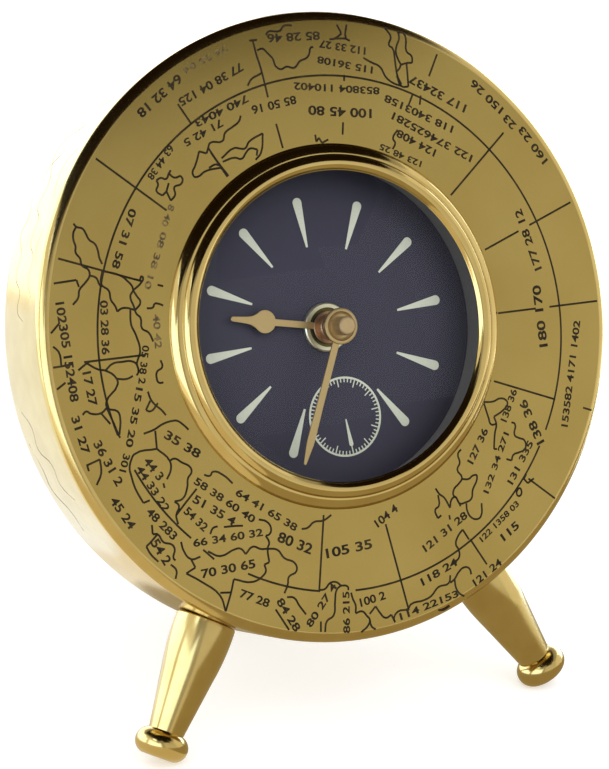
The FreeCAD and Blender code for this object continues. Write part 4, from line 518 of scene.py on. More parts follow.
# More coasts run over the side wall, cut lightly and polished nearly away.
# Points are an angle round the drum, from the viewer's right, and a depth behind the face.
side_coasts = [
    [(122, -6), (125, -9), (128, -8), (130, -12), (134, -13), (136, -17), (140, -16),
     (143, -20), (146, -19)],
    [(131, -22), (135, -20), (139, -22), (143, -18), (147, -14), (151, -15), (154, -11),
     (158, -12), (161, -8), (165, -9), (168, -6)],
    [(149, -22), (153, -19), (156, -21), (160, -17), (164, -18), (167, -14), (170, -15),
     (172, -11)],
    [(156, -5), (159, -7), (162, -5)], [(140, -6), (143, -9), (147, -8), (150, -6)],
    [(188, -20), (191, -16), (195, -17), (198, -12), (202, -13), (205, -9)],
    [(194, -22), (199, -20), (203, -21), (208, -17), (212, -18)]]
SIDE_LINE = 0.24
side_paths = []
for path in side_coasts:
    side_paths.append([(
        (CASE_RADIUS - SIDE_LINE / 3) * math.cos(math.radians(angle)),
        (CASE_RADIUS - SIDE_LINE / 3) * math.sin(math.radians(angle)), depth)
        for angle, depth in path])
side_lines = drawn_line("side_coasts", side_paths, SIDE_LINE, True)
side_lines.data.materials.append(worn_wax)
settle(side_lines, CLOCK, "case", "engraved_brass")

# Back cover and its four screws. The cover is a brass ring plate, brushed in circles, with
# a bevelled edge and a wide opening for setting the hands; the screws are slotted steel.

# Brushed brass: fine circles from the lathe show as a darker and lighter sheen.
brushed_brass, tree = finish("brushed_brass")
place = add(tree, "ShaderNodeTexCoord").outputs["Object"]
centred = add(tree, "ShaderNodeMapping", {"Vector": place, "Location": tuple(-FACE_MIDDLE)})
levelled = add(tree, "ShaderNodeMapping", {
    "Vector": centred.outputs["Vector"], "Rotation": (-(math.pi / 2 - LEAN), 0, 0)})
rings = add(tree, "ShaderNodeTexWave", {
    "Vector": levelled.outputs["Vector"], "Scale": per_metre(1.2), "Distortion": 1.5,
    "Detail": 3.0, "Detail Scale": 2.0}, wave_type="RINGS", rings_direction="Z")
tone = add(tree, "ShaderNodeValToRGB", {"Fac": rings.outputs["Fac"]})
tone.color_ramp.elements[0].color = colour("B79B5E")
tone.color_ramp.elements[1].color = colour("C8AE70")
sheen = add(tree, "ShaderNodeMapRange", {"Value": rings.outputs["Fac"], "To Min": 0.24,
                                         "To Max": 0.36})
relief = add(tree, "ShaderNodeBump", {"Height": rings.outputs["Fac"], "Strength": 0.12,
                                      "Distance": 0.02 * MM})
shader = add(tree, "ShaderNodeBsdfPrincipled", {
    "Base Color": tone.outputs["Color"], "Metallic": 1.0, "Roughness": sheen.outputs["Result"],
    "Normal": relief.outputs["Normal"]})
add(tree, "ShaderNodeOutputMaterial", {"Surface": shader.outputs["BSDF"]})

# Bright steel: turned screws, studs and nuts, grey with a soft machined sheen.
bright_steel = patchy("bright_steel", ("9C9C98", "B9B9B4"), 0.8, 3.0, (0.22, 0.38), metallic=1.0)


def dress(material, *names):
    """Give CAD nodes their material."""
    for name in names:
        nodes[name].data.materials.clear()
        nodes[name].data.materials.append(material)


dress(brushed_brass, "back_cover")
dress(bright_steel, "cover_screws", "leg_studs", "leg_washers", "leg_nuts", "clutch_spring")

# Legs. Three legs turned from brass bar and buffed: a long slight swell, a narrow neck
# and a round bead for a foot. A stud and nut inside the drum hold each one.

LEG_TOP, LEG_WAIST, LEG_NECK, SWELL_RADIUS, WAIST_SHARE = 7.45, 6.5, 4.3, 60, 13.5 / 34.6
BEAD_HEIGHT, BEAD_END, BEAD_ROUND = 6.4, 4.1, 3.35
LEG_GAP, LEG_SEGMENTS, EDGE_ROUND = 0.05, 128, 0.25
SPLAY, REAR_TILT, REAR_DROP = math.radians(29.5), math.radians(14), 52.6
FRONT_LEG, REAR_LEG, LEG_TIP = 34.6, 71.45, 0.4


def leg_outline(length):
    """Outline of a leg from its seat to its foot."""
    neck = length - BEAD_HEIGHT
    waist = WAIST_SHARE * length
    outline = [(LEG_TOP - EDGE_ROUND, LEG_GAP)]
    outline += bulge((LEG_TOP, LEG_GAP + EDGE_ROUND), (LEG_WAIST, waist), SWELL_RADIUS, -1, 10)
    outline += [(LEG_WAIST + (LEG_NECK - LEG_WAIST) * share, waist + (neck - waist) * share)
                for share in (0.35, 0.7)]
    outline += bulge((LEG_NECK, neck), (BEAD_END, length), BEAD_ROUND, -1, 18)
    outline += [(BEAD_END - EDGE_ROUND, length), (BEAD_END / 2, length), (LEG_TIP, length)]
    return outline


def make_leg(name, length, direction, seat, behind=False):
    """Turn a leg, set it on its seat, cut its foot level with the floor, and its top if behind."""
    leg = turned(name, leg_outline(length), segments=LEG_SEGMENTS, closed=False,
                 start_solid=True, end_solid=True)
    place = (CLOCK @ Matrix.Translation(seat * MM)
             @ Vector((0, 0, 1)).rotation_difference(direction).to_matrix().to_4x4())
    leg.data.transform(place)
    cuts = [((0, 0, 0), (0, 0, 1))]
    if behind:
        cuts.append((CLOCK @ Vector((0, 0, -CASE_DEPTH * MM)),
                     CLOCK.to_3x3() @ Vector((0, 0, -1))))
    pick(leg)
    bpy.ops.object.mode_set(mode="EDIT")
    for point, kept_side in cuts:
        bpy.ops.mesh.select_all(action="SELECT")
        bpy.ops.mesh.bisect(plane_co=point, plane_no=kept_side, use_fill=True, clear_inner=True,
                            threshold=WELD)
    bpy.ops.mesh.select_all(action="SELECT")
    bpy.ops.mesh.normals_make_consistent(inside=False)
    bpy.ops.object.mode_set(mode="OBJECT")
    bpy.ops.object.shade_smooth_by_angle(angle=SMOOTH_ANGLE)
    leg.data.materials.append(buffed_brass)
    return leg


for name, side in (("left_leg", -1), ("right_leg", 1)):
    direction = Vector((side * math.sin(SPLAY), -math.cos(SPLAY), 0))
    leg = make_leg("turned_" + name, FRONT_LEG, direction,
                   direction * CASE_RADIUS + Vector((0, 0, -CASE_DEPTH / 2)))
    settle(leg, Matrix.Identity(4), "case", "polished_brass", name)
direction = Vector((0, -math.sin(REAR_TILT), -math.cos(REAR_TILT)))
leg = make_leg("turned_rear_leg", REAR_LEG, direction, Vector((0, -REAR_DROP, -CASE_DEPTH)),
               behind=True)
settle(leg, Matrix.Identity(4), "case", "polished_brass", "rear_leg")

# Bezel of the insert clock. A ring of polished brass, spun over the can's flange: a large
# outer roll, a cove, a smaller roll, and a slope down to the lip that holds the lens.

INSERT = CLOCK @ Matrix.Rotation(math.radians(6.3), 4, "Z")
BEZEL_RADIUS, BEZEL_STEP, LIP_SEAT, LIP_RADIUS = 44, 43.05, 39.25, 37.4
LIP_UNDER, FLANGE_UNDER, BEZEL_BEVEL, ROLL_RADIUS = 2.2, 0.55, 0.1, 2.1
bezel_outline = (
    [(BEZEL_STEP, 0), (BEZEL_RADIUS - BEZEL_BEVEL, 0)]
    + bulge((BEZEL_RADIUS, BEZEL_BEVEL), (41.3, 1.85), 3, -1, 14)
    + arc((39.3, 1.15), ROLL_RADIUS, 20, 148, 22)
    + [(LIP_RADIUS, LIP_UNDER), (LIP_SEAT, LIP_UNDER), (LIP_SEAT, FLANGE_UNDER),
       (BEZEL_STEP, FLANGE_UNDER), (BEZEL_STEP, 0)])
bezel = turned("insert_bezel", bezel_outline, segments=256)
bezel.data.materials.append(polished_brass)
settle(bezel, INSERT, "case", "polished_brass", "bezel")

# Lens and gasket. The lens is pressed glass with a low dome, held at its rim by the bezel's
# lip. The gasket under it and the band that grips the drum's hole are moulded from rubber.

# Clear glass: almost nothing but its reflections, a trace of grey at the rim.
clear_glass, tree = finish("clear_pressed_glass")
place = add(tree, "ShaderNodeTexCoord").outputs["Object"]
ripple = add(tree, "ShaderNodeTexNoise", {"Vector": place, "Scale": per_metre(30)})
relief = add(tree, "ShaderNodeBump", {"Height": ripple.outputs["Fac"], "Strength": 0.02,
                                      "Distance": 0.1 * MM})
glare = add(tree, "ShaderNodeFresnel", {"IOR": 1.2, "Normal": relief.outputs["Normal"]})
through = add(tree, "ShaderNodeBsdfTransparent", {"Color": (0.97, 0.975, 0.97, 1)})
mirror = add(tree, "ShaderNodeBsdfGlossy", {"Roughness": 0.03, "Normal": relief.outputs["Normal"]})
mixed = add(tree, "ShaderNodeMixShader", {0: glare.outputs["Fac"], 1: through.outputs["BSDF"],
                                          2: mirror.outputs["BSDF"]})
add(tree, "ShaderNodeOutputMaterial", {"Surface": mixed.outputs["Shader"]})

# Black rubber: dull, with a faint bloom.
black_rubber = patchy("black_rubber", ("1B1B1C", "2C2C2D"), 1.5, 4.0, 0.7)

LENS_SPHERE, LENS_RIM_TOP = 128.57, 2.15
LENS_HALF, LENS_RADIUS, LENS_APEX = 37.2, 39.2, 7.65
DOME_STEPS, DOME_TIP = 14, 0.3


def dome(radius, apex, half):
    """Outline of a spherical cap from its edge to near its middle."""
    centre = apex - radius
    return [(half * (1 - step / DOME_STEPS) + DOME_TIP * step / DOME_STEPS,
             centre + math.sqrt(radius ** 2 - (half * (1 - step / DOME_STEPS)) ** 2))
            for step in range(DOME_STEPS + 1)]


lens = turned("glass_dome", [(LENS_RADIUS, LENS_RIM_TOP)] + dome(
    LENS_SPHERE, LENS_APEX, LENS_HALF), segments=192, closed=False, end_solid=True)
lens.data.materials.append(clear_glass)
settle(lens, INSERT, "case", "lens_glass", "lens")
dress(black_rubber, "lens_gasket", "grip_band", "movement_washer")

# Dial. A flat metal disc, painted a dark blue grey, with printed hour markers and a small
# seconds ring. The paint is satin; the print stands a hair proud of it.

# Dial paint: dark slate blue, satin, very fine grain, so no bright lamp shows on it.
dial_paint = patchy("satin_dial_paint", ("3A3947", "3C3B49"), 2.5, 2.0, 0.45, specular=0.12)

# Marker paint: pale grey green, chalky, laid on thickly.
marker_paint = patchy("pale_marker_paint", ("BFC4B2", "CDD1C0"), 0.7, 3.0, 0.6)

DIAL_TOP, DIAL_RADIUS, DIAL_THICK, DIAL_HOLE = -7.5, 40.25, 0.8, 4.1
dial = turned("painted_dial", [
    (DIAL_HOLE, DIAL_TOP), (DIAL_RADIUS, DIAL_TOP), (DIAL_RADIUS, DIAL_TOP - DIAL_THICK),
    (DIAL_HOLE, DIAL_TOP - DIAL_THICK), (DIAL_HOLE, DIAL_TOP)])
dial.data.materials.append(dial_paint)
settle(dial, INSERT, "case", "dial_paint", "dial")

PRINT_LEVEL, PRINT_HEIGHT, PRINT_SHIFT = -7.5, 0.04, Vector((0.05, -0.38))
DIAL_PRINT = INSERT @ Matrix.Translation(Vector((PRINT_SHIFT.x, PRINT_SHIFT.y, PRINT_LEVEL)) * MM)
MARKER_OUTER, MARKER_INNER, MARKER_WIDE, MARKER_NARROW = 32.5, 20.3, 2.4, 0.5


def flat_curve(name, outlines, half_thickness):
    """Filled flat curve from closed outlines, thickened to both sides, all in millimetres."""
    curve = bpy.data.curves.new(name, "CURVE")
    curve.dimensions = "2D"
    curve.fill_mode = "BOTH"
    curve.extrude = half_thickness * MM
    for outline in outlines:
        spline = curve.splines.new("POLY")
        spline.points.add(len(outline) - 1)
        spline.use_cyclic_u = True
        for point, (x, y) in zip(spline.points, outline):
            point.co = (x * MM, y * MM, 0, 1)
    return curve


def printed(name, outlines):
    """Print that stands a hair above its level, from closed outlines."""
    shape = solid_of(flat_curve(name, outlines, PRINT_HEIGHT / 2))
    shape.data.transform(Matrix.Translation((0, 0, PRINT_HEIGHT / 2 * MM)))
    shape.data.materials.append(marker_paint)
    return shape


def drop(inner, outer, wide, narrow):
    """Outline of a tear drop that points to the middle."""
    round_end = arc((0, outer - wide / 2), wide / 2, 0, 180, 12)
    return round_end + [(-narrow / 2, inner), (narrow / 2, inner)]


def turned_by(outline, angle, middle=(0, 0)):
    """Outline turned clockwise about the origin and shifted."""
    turn = math.radians(angle)
    return [(x * math.cos(turn) + y * math.sin(turn) + middle[0],
             y * math.cos(turn) - x * math.sin(turn) + middle[1]) for x, y in outline]


marker = drop(MARKER_INNER, MARKER_OUTER, MARKER_WIDE, MARKER_NARROW)
markers = printed("hour_markers", [turned_by(marker, hour * 30) for hour in range(12)
                                   if hour != 6])
settle(markers, DIAL_PRINT, "case", "dial_paint")

# Seconds ring printed above the six: a ring, sixty strokes inside it and a small pointer
RING_PLACE, RING_OUTER, RING_WIDTH = (0, -22), 9.8, 0.5
STROKE, LONG_STROKE, STROKE_WIDTH = 1.0, 2.0, 0.28
pointer = drop(0.6, 7.4, 1.1, 0.3)
rims = [arc(RING_PLACE, radius, 0, 354, 59) for radius in (RING_OUTER, RING_OUTER - RING_WIDTH)]
tick_outlines = []
for tick in range(60):
    reach = LONG_STROKE if tick % 5 == 0 else STROKE
    top = RING_OUTER - RING_WIDTH * 0.8
    half = STROKE_WIDTH / 2
    tick_outlines.append(turned_by(
        [(half, top), (-half, top), (-half, top - reach), (half, top - reach)], tick * 6,
        RING_PLACE))
tick_outlines.append(turned_by(pointer, 180, RING_PLACE))
for name, outlines in (("seconds_ring", rims), ("seconds_strokes", tick_outlines)):
    settle(printed(name, outlines), DIAL_PRINT, "case", "dial_paint")

# Ring round the dial. A pressed wall, painted grey, that narrows towards the lens and hides
# the gap between dial and bezel. It stands on the dial, and the lens's gasket lies on it.

# Grey paint: satin, slightly warm.
grey_paint = patchy("satin_grey_paint", ("B9B8B4", "C8C7C3"), 1, 3.0, 0.4)
WALL_FOOT, WALL_LIP, WALL_RADIUS, WALL_TOP = 39.7, 38.4, 40.25, 0.35
wall = turned("dial_wall", [
    (WALL_FOOT, DIAL_TOP), (WALL_LIP, WALL_TOP), (WALL_RADIUS, WALL_TOP), (WALL_RADIUS, DIAL_TOP),
    (WALL_FOOT, DIAL_TOP)])
wall.data.materials.append(grey_paint)
settle(wall, INSERT, "case", "ring_grey", "dial_ring")

# Hour hand: a blade stamped from sheet with a round spade and a blunt nose, riveted to a
# turned collet. The blade is gilt and matt; the collet's brown is a painted dial reflection.

# Gilt brass: peach gold, matt enough to look almost flat.
gilt_brass = patchy("matt_gilt_brass", ("CAAF78", "D3B984"), 0.4, 3.0, (0.32, 0.45),
                    metallic=0.85)


def blade(name, half_outline, underside, thickness, edge):
    """Blade of a hand that points up, from the outline of its right half."""
    outline = half_outline + [(-x, y) for x, y in reversed(half_outline) if x]
    curve = flat_curve(name, [outline], thickness / 2 - edge)
    curve.bevel_depth, curve.bevel_resolution = edge * MM, 2
    curve.offset = -edge * MM
    shape = solid_of(curve)
    bpy.ops.object.mode_set(mode="EDIT")
    bpy.ops.mesh.select_all(action="SELECT")
    bpy.ops.mesh.remove_doubles(threshold=WELD)
    bpy.ops.mesh.normals_make_consistent(inside=False)
    bpy.ops.object.mode_set(mode="OBJECT")
    shape.data.transform(Matrix.Translation((0, 0, (underside + thickness / 2) * MM)))
    shape.data.materials.append(gilt_brass)
    return shape


HOUR_TURN = Matrix.Rotation(math.radians(-287.5), 4, "Z")
HOUR_UNDER, HAND_THICK, HAND_EDGE = -5.6, 0.4, 0.08
HOUR_SHAFT, BULB_RADIUS, BULB_PLACE = 0.83, 2.8, 17.0
NOSE_PLACE, NOSE_HALF, TIP_HALF, HOUR_REACH = 21.8, 0.85, 0.6, 26
bulb_start = -math.degrees(math.acos(HOUR_SHAFT / BULB_RADIUS))
shoulder = arc((0, BULB_PLACE), BULB_RADIUS, bulb_start, 36, 16)
hour_half = ([(HOUR_SHAFT, 2)] + shoulder
             + bulge(shoulder[-1], (NOSE_HALF, NOSE_PLACE), 5, 1, 8)[1:]
             + arc((0, HOUR_REACH - TIP_HALF), TIP_HALF, 0, 90, 8)[:-1] + [(0, HOUR_REACH)])
hour_blade = blade("hour_blade", hour_half, HOUR_UNDER, HAND_THICK, HAND_EDGE)
settle(hour_blade, INSERT @ HOUR_TURN, "hour", "hand_brass", "hour_hand")
COLLET_BORE, COLLET_RADIUS, COLLET_TOP, COLLET_BEVEL = 2, 3.2, -3.0, 0.25
FLANGE_RADIUS, FLANGE_TOP, FLANGE_BEVEL = 4, -5.15, 0.15
hour_collet = turned("hour_collet", [
    (COLLET_BORE, COLLET_TOP), (COLLET_RADIUS - COLLET_BEVEL, COLLET_TOP),
    (COLLET_RADIUS, COLLET_TOP - COLLET_BEVEL), (COLLET_RADIUS, FLANGE_TOP),
    (FLANGE_RADIUS - FLANGE_BEVEL, FLANGE_TOP), (FLANGE_RADIUS, FLANGE_TOP - FLANGE_BEVEL),
    (FLANGE_RADIUS, HOUR_UNDER), (COLLET_BORE, HOUR_UNDER), (COLLET_BORE, COLLET_TOP)],
    segments=96)

# Brown gilt brass: patchy, its brown a painted reflection of the dark dial.
dial_reflection_gilt = patchy("painted_reflection_gilt_brass", ("B08A66", "CDA37C"), 1.1, 3.0, 0.34,
                        metallic=0.9)
hour_collet.data.materials.append(dial_reflection_gilt)
settle(hour_collet, INSERT, "hour", "hand_brass")

# Minute hand and cap nut: a long blade, widest near its end, on a dished hub with a
# raised rim, gilt like the hour hand; the cap nut that holds it is turned from bar.

MINUTE_TURN = Matrix.Rotation(math.radians(-210), 4, "Z")
MINUTE_UNDER, MINUTE_SHAFT, BELLY, BELLY_PLACE, MINUTE_REACH = 0.75, 0.9, 1.02, 29.2, 34.6
minute_half = ([(MINUTE_SHAFT, 2.5), (MINUTE_SHAFT, 20), (BELLY, BELLY_PLACE - 0.6),
                (BELLY - 0.05, BELLY_PLACE + 0.3), (0.35, MINUTE_REACH - 0.25),
                (0, MINUTE_REACH)])
minute_blade = blade("minute_blade", minute_half, MINUTE_UNDER, HAND_THICK, HAND_EDGE)
settle(minute_blade, INSERT @ MINUTE_TURN, "minute", "hand_brass", "minute_hand")
HUB_BORE, HUB_NECK, HUB_RADIUS, HUB_BEVEL = 1.7, 2.7, 4.4, 0.1
HUB_FLOOR, HUB_RIM, HUB_FOOT = 1.15, 1.65, -1.65
minute_hub = turned("minute_hub", [
    (HUB_BORE, HUB_FLOOR), (HUB_NECK, HUB_FLOOR)]
    + bulge((HUB_NECK, HUB_FLOOR), (3.6, HUB_RIM), 1.2, -1, 5)[1:] + [
    (4.1, HUB_RIM), (4.32, 1.55), (HUB_RADIUS, 1.35), (HUB_RADIUS, MINUTE_UNDER + HUB_BEVEL),
    (HUB_RADIUS - HUB_BEVEL, MINUTE_UNDER), (HUB_NECK, MINUTE_UNDER),
    (HUB_NECK, HUB_FOOT + HUB_BEVEL), (HUB_NECK - HUB_BEVEL, HUB_FOOT), (HUB_BORE, HUB_FOOT),
    (HUB_BORE, HUB_FLOOR)], segments=96)
minute_hub.data.materials.append(gilt_brass)
settle(minute_hub, INSERT, "minute", "hand_brass")
CAP_RADIUS, CAP_SHOULDER, CAP_ROUND, CAP_TIP = 2.3, 4.5, 0.7, 0.6
cap = turned("cap_nut", [(CAP_RADIUS, HUB_FLOOR), (CAP_RADIUS, CAP_SHOULDER)]
             + arc((CAP_RADIUS - CAP_ROUND, CAP_SHOULDER), CAP_ROUND, 0, 90, 8)
             + [(CAP_TIP, CAP_SHOULDER + CAP_ROUND)], segments=96, closed=False, end_solid=True)

# Turned gilt brass: as the hands, but bright from the lathe.
bright_gilt = patchy("bright_turned_gilt_brass", ("C6A97A", "CFB486"), 0.9, 2.0, (0.42, 0.55),
                     metallic=0.6)
cap.data.materials.append(bright_gilt)
settle(cap, INSERT, "minute", "hand_brass", "hand_nut")

# Centre nut and its washer. Both are turned from pale brass and hold the movement to the
# dial. The nut is dished: a bright rim round a recess whose dark olive colour is painted shade.

# Pale brass: nearly silver on top, warm below.
pale_brass = patchy("pale_turned_brass", ("E9E2BC", "F4EECD"), 1.5, 2.0, (0.3, 0.42),
                    metallic=0.9)
dress(pale_brass, "nut_washer")
NUT_RADIUS, NUT_TOP, NUT_FOOT, NUT_RIM, NUT_BEVEL, NUT_RECESS = 5.95, -5.9, -7.2, 1.15, 0.3, 0.5
nut = turned("dished_nut", [
    (NUT_RADIUS, NUT_FOOT), (NUT_RADIUS, NUT_TOP - NUT_BEVEL), (NUT_RADIUS - NUT_BEVEL, NUT_TOP),
    (NUT_RADIUS - NUT_RIM, NUT_TOP), (NUT_RADIUS - NUT_RIM - 0.1, NUT_TOP - NUT_RECESS),
    (4, NUT_TOP - NUT_RECESS), (3.6, NUT_TOP - NUT_RECESS), (3.6, NUT_FOOT),
    (NUT_RADIUS, NUT_FOOT)], segments=96)
nut.data.materials.append(pale_brass)

# Olive brass: dark and dull, painted shade in the nut's recess.
recess_shade_brass = patchy("painted_shade_olive_brass", ("5A5428", "7A7038"), 1.4, 2.0, 0.4, metallic=0.9)
nut.data.materials.append(recess_shade_brass)
# Faces in the recess below the rim take the olive brass: painted shade.
for face in nut.data.polygons:
    reach = face.center.xy.length / MM
    if reach < NUT_RADIUS - NUT_RIM and face.center.z < NUT_TOP * MM:
        face.material_index = 1
settle(nut, INSERT, "case", "hand_brass", "centre_nut")
dress(polished_brass, "cannon_pinion")

# Can of the insert clock. A cup drawn from steel and zinc plated, which holds dial, ring and
# movement together. It is clipped under the bezel, and shows through the opening at the back.

# Zinc plate: grey, cloudy, half bright.
zinc_plate = patchy("zinc_plated_steel", ("8F9193", "B2B4B5"), 4, 5.0, (0.3, 0.5), metallic=1.0)
dress(zinc_plate, "insert_can")

# Quartz movement. Two moulded halves snap together round plastic wheels, a step motor, its
# circuit and one cell. Only the case, the knob and the cell show, through the back's opening.


def moulded(name, tones, grain, roughness):
    """Moulded plastic: one colour, a fine spark-eroded grain."""
    return patchy(name, tones, grain, 4.0, roughness, relief=(grain, 4.0, 0.15, 0.03))


def plated(name, tones, patch, roughness):
    """Bare or plated metal: a slow change of tone and of gloss."""
    return patchy(name, tones, patch, 4.0, roughness, metallic=1.0)


# Black ABS: near black, its grain greys the highlights.
dress(moulded("black_abs_case", ("17181A", "232427"), 0.5, 0.45),
      "movement_front_case", "movement_back_case")
# White acetal: milky and slightly warm, waxy.
dress(moulded("white_acetal_wheels", ("E3E2DC", "ECEBE6"), 0.8, 0.4),
      "hour_wheel", "motion_wheel", "centre_wheel", "third_wheel", "seconds_wheel",
      "step_wheel", "set_pinion", "rotor_pinion", "coil_bobbin")
# Grey ABS: pale, satin.
dress(moulded("grey_abs_knob", ("C9C8C2", "D6D5D0"), 0.6, 0.4), "set_knob")
# Solder mask: bottle green, glossy over the board's weave.
dress(moulded("green_solder_mask", ("1F5B3A", "2A6E49"), 1.2, 0.35), "circuit_board")
# Enamelled copper: red brown, shiny turn by turn.
dress(plated("enamelled_copper_wire", ("9A4A24", "B8643A"), 0.4, (0.25, 0.4)), "coil_winding")
# Soft iron: stamped, dull grey.
dress(plated("soft_iron", ("7B7A78", "94928F"), 2.0, (0.3, 0.45)), "coil_core", "stator")
# Sintered magnet: dark, ground grey.
dress(plated("sintered_magnet", ("4A4A4C", "5C5C5E"), 0.8, (0.35, 0.5)), "rotor_magnet")
# Nickel plate: warm silver, bright.
dress(plated("nickel_plate", ("B7B3A8", "CBC7BC"), 2.5, (0.15, 0.28)),
      "positive_contact", "negative_contact", "quartz_crystal")
# Cell jacket: dark blue grey film, glossy.
dress(moulded("printed_cell_jacket", ("2B3038", "363C45"), 3.0, 0.3), "battery")

# Studio: a pale sweep, a white room and two soft lamps. The cards round the clock are seen
# only in reflections: white at the sides and behind, grey in front, dark overhead.

FLOOR_SIZE, CLEAR = 6, 0.0002


def looked_at(branch):
    """Socket that is 1 to the camera, to reflections and through glass, and 0 to other light."""
    ray = add(branch, "ShaderNodeLightPath").outputs
    seen = add(branch, "ShaderNodeMath", {0: ray["Is Camera Ray"], 1: ray["Is Glossy Ray"]},
               operation="MAXIMUM")
    seen = add(branch, "ShaderNodeMath", {0: seen.outputs["Value"],
                                          1: ray["Is Transmission Ray"]}, operation="MAXIMUM")
    return seen.outputs["Value"]


deselect()
bpy.ops.mesh.primitive_plane_add(size=FLOOR_SIZE, location=(0, 0, -CLEAR))
floor = bpy.context.object
floor.name = "floor"
floor_paper, tree = finish("white_paper_sweep")
paper = add(tree, "ShaderNodeBsdfDiffuse", {"Color": (0.8, 0.8, 0.8, 1)})
glow = add(tree, "ShaderNodeEmission", {"Color": (1, 1, 1, 1), "Strength": 0.42})
lit = add(tree, "ShaderNodeAddShader", {0: paper.outputs["BSDF"], 1: glow.outputs["Emission"]})
chosen = add(tree, "ShaderNodeMixShader", {0: looked_at(tree), 1: paper.outputs["BSDF"],
                                           2: lit.outputs["Shader"]})
add(tree, "ShaderNodeOutputMaterial", {"Surface": chosen.outputs["Shader"]})
floor.data.materials.append(floor_paper)

world = bpy.data.worlds.new("white_room")
bpy.context.scene.world = world
world.use_nodes = True
tree = world.node_tree
tree.nodes.clear()
strength = add(tree, "ShaderNodeMapRange", {"Value": looked_at(tree), "To Min": 0.9,
                                            "To Max": 1.0})
room = add(tree, "ShaderNodeBackground", {"Color": (1, 1, 1, 1),
                                          "Strength": strength.outputs["Result"]})
add(tree, "ShaderNodeOutputWorld", {"Surface": room.outputs["Background"]})


def card(name, tint, strength, middle, tilt, turn, width, height, fade=None):
    """Glowing card that only reflections see; fade gives its strength at two heights."""
    deselect()
    bpy.ops.mesh.primitive_plane_add(size=1)
    panel = bpy.context.object
    panel.name = name
    panel.data.transform(Matrix.Translation(middle)
                         @ Matrix.Rotation(math.radians(turn), 4, "Z")
                         @ Matrix.Rotation(math.radians(tilt), 4, "X")
                         @ Matrix.Diagonal((width, height, 1, 1)))
    cloth, branch = finish(name + "_cloth")
    light = add(branch, "ShaderNodeEmission", {"Color": colour(tint), "Strength": strength})
    if fade:
        where = add(branch, "ShaderNodeTexCoord")
        height_only = add(branch, "ShaderNodeSeparateXYZ", {0: where.outputs["Object"]})
        faded = add(branch, "ShaderNodeMapRange", {
            "Value": height_only.outputs["Z"], "From Min": fade[0], "From Max": fade[1],
            "To Min": fade[2], "To Max": fade[3]})
        branch.links.new(faded.outputs["Result"], light.inputs["Strength"])
    add(branch, "ShaderNodeOutputMaterial", {"Surface": light.outputs["Emission"]})
    panel.data.materials.append(cloth)
    panel.visible_camera = False
    panel.visible_diffuse = False
    panel.visible_shadow = False
    panel.visible_transmission = False


# Cards: tint, strength, middle in metres, tilt and turn in degrees, width and height in metres
card("grey_front", "FFFFFF", 0.7, (0.22, -0.6, 0.31), 90, 0, 0.76, 0.7,
     (0.09, 0.39, 0.82, 0.72))
card("dark_front", "5C4630", 0.12, (0.05, -0.59, 0.61), 90, 0, 0.4, 0.38)
card("soft_box_front_left", "C8DCFF", 3.2, (-0.465, -0.6, 0.18), 90, 0, 0.27, 0.36)
card("grey_front_low_left", "FFFFFF", 0.5, (-0.245, -0.6, 0.18), 90, 0, 0.17, 0.36)
card("grey_front_left", "FFFFFF", 0.42, (-0.38, -0.6, 0.51), 90, 0, 0.44, 0.3)
card("soft_box_left", "C8DCFF", 3.6, (-0.6, -0.34, 0.18), 90, 90, 0.52, 0.36)
card("soft_box_left_rear", "C8DCFF", 3.6, (-0.6, 0.195, 0.18), 90, 90, 0.31, 0.36)
card("soft_box_high_left", "C8DCFF", 4.5, (-0.5, -0.3, 0.52), 0, 0, 0.14, 0.22)
card("soft_box_back_left", "C8DCFF", 4.0, (-0.75, 0.75, 0.4), 90, 45, 0.9, 0.8)
card("soft_box_behind", "EEF4FF", 3.0, (-0.05, 0.95, 0.25), 90, 0, 0.9, 0.5)
card("soft_box_right", "C8DCFF", 5.0, (0.6, 0.5, 0.23), 90, 90, 1.0, 0.4)
card("grey_ceiling", "FFFFFF", 0.45, (0, 0.15, 0.66), 0, 0, 1.4, 1.6)
card("dark_canopy", "5C4630", 0.12, (-0.035, -0.025, 0.30), 0, 0, 0.47, 0.55)
# Dim warm cards lying on the floor in front: painted shade, the floor's shadow near the clock with
# the drum's warm reflection in it, as the legs and rounds see it.
card("floor_shade_card", "F8E6BC", 0.45, (0.23, -0.285, 0.0004), 0, 0, 0.55, 0.63)
card("floor_shade_card_corner", "FFF4DC", 0.8, (-0.17, -0.3, 0.0004), 0, 0, 0.25, 0.6)
card("bright_table_left", "D8E4FF", 1.9, (-0.38, 0.365, 0.0004), 0, 0, 0.64, 0.67)
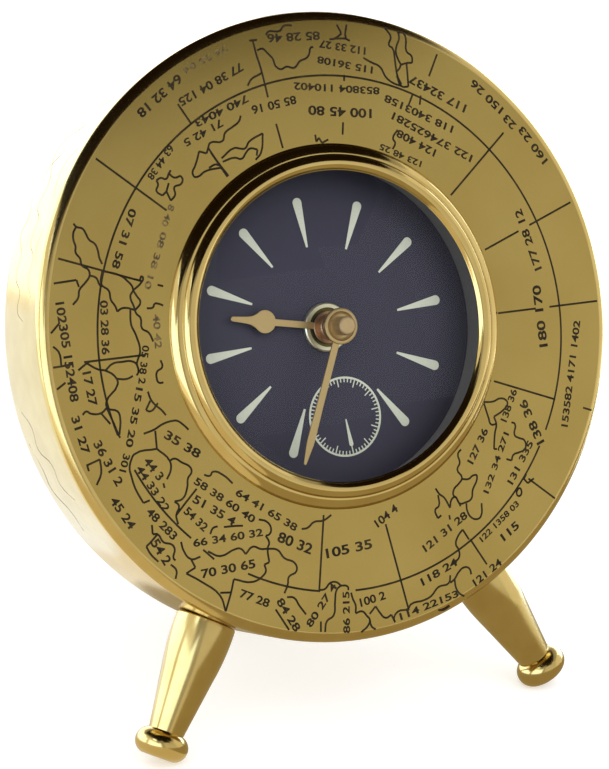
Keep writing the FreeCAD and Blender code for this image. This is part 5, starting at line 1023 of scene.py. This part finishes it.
card("bright_table_right", "C8DCFF", 4.5, (0.4, 0.13, 0.0004), 0, 0, 0.4, 0.44)

LAMP_DISTANCE = 1.2
for name, azimuth, elevation, power, size in (
        ("key_lamp", -30, 40, 3, 0.9), ("fill_lamp", 20, 30, 4, 1.0)):
    deselect()
    turn, rise = math.radians(azimuth), math.radians(elevation)
    away = Vector((math.sin(turn) * math.cos(rise), -math.cos(turn) * math.cos(rise),
                   math.sin(rise)))
    bpy.ops.object.light_add(type="AREA", location=FACE_MIDDLE + away * LAMP_DISTANCE)
    lamp = bpy.context.object
    lamp.name = name
    lamp.rotation_euler = away.to_track_quat("Z", "Y").to_euler()
    lamp.data.energy = power
    lamp.data.size = size
    lamp.visible_glossy = False

# Camera: a long lens, a little above the clock and to its left
CAMERA_TURN, CAMERA_RISE = math.radians(26.57), math.radians(16.85)
CAMERA_RIGHT, CAMERA_UP, CAMERA_AWAY = 8.17, 14.0, 600.8
FOCAL_PIXELS, FRAME_HEIGHT, SENSOR = 2500, 769, 36
ahead = Vector((math.sin(CAMERA_TURN) * math.cos(CAMERA_RISE),
                math.cos(CAMERA_TURN) * math.cos(CAMERA_RISE), -math.sin(CAMERA_RISE)))
right = Vector((math.cos(CAMERA_TURN), -math.sin(CAMERA_TURN), 0))
upward = right.cross(ahead)
place = FACE_MIDDLE - (right * CAMERA_RIGHT + upward * CAMERA_UP + ahead * CAMERA_AWAY) * MM
camera_data = bpy.data.cameras.new("camera")
camera_data.sensor_width = SENSOR
camera_data.lens = FOCAL_PIXELS * SENSOR / FRAME_HEIGHT
camera_data.clip_start, camera_data.clip_end = 0.01, 20
camera = bpy.data.objects.new("camera", camera_data)
camera.matrix_world = Matrix((
    (right.x, upward.x, -ahead.x, place.x), (right.y, upward.y, -ahead.y, place.y),
    (right.z, upward.z, -ahead.z, place.z), (0, 0, 0, 1)))
bpy.context.scene.collection.objects.link(camera)
bpy.context.scene.camera = camera
bpy.context.scene.view_settings.view_transform = "Standard"
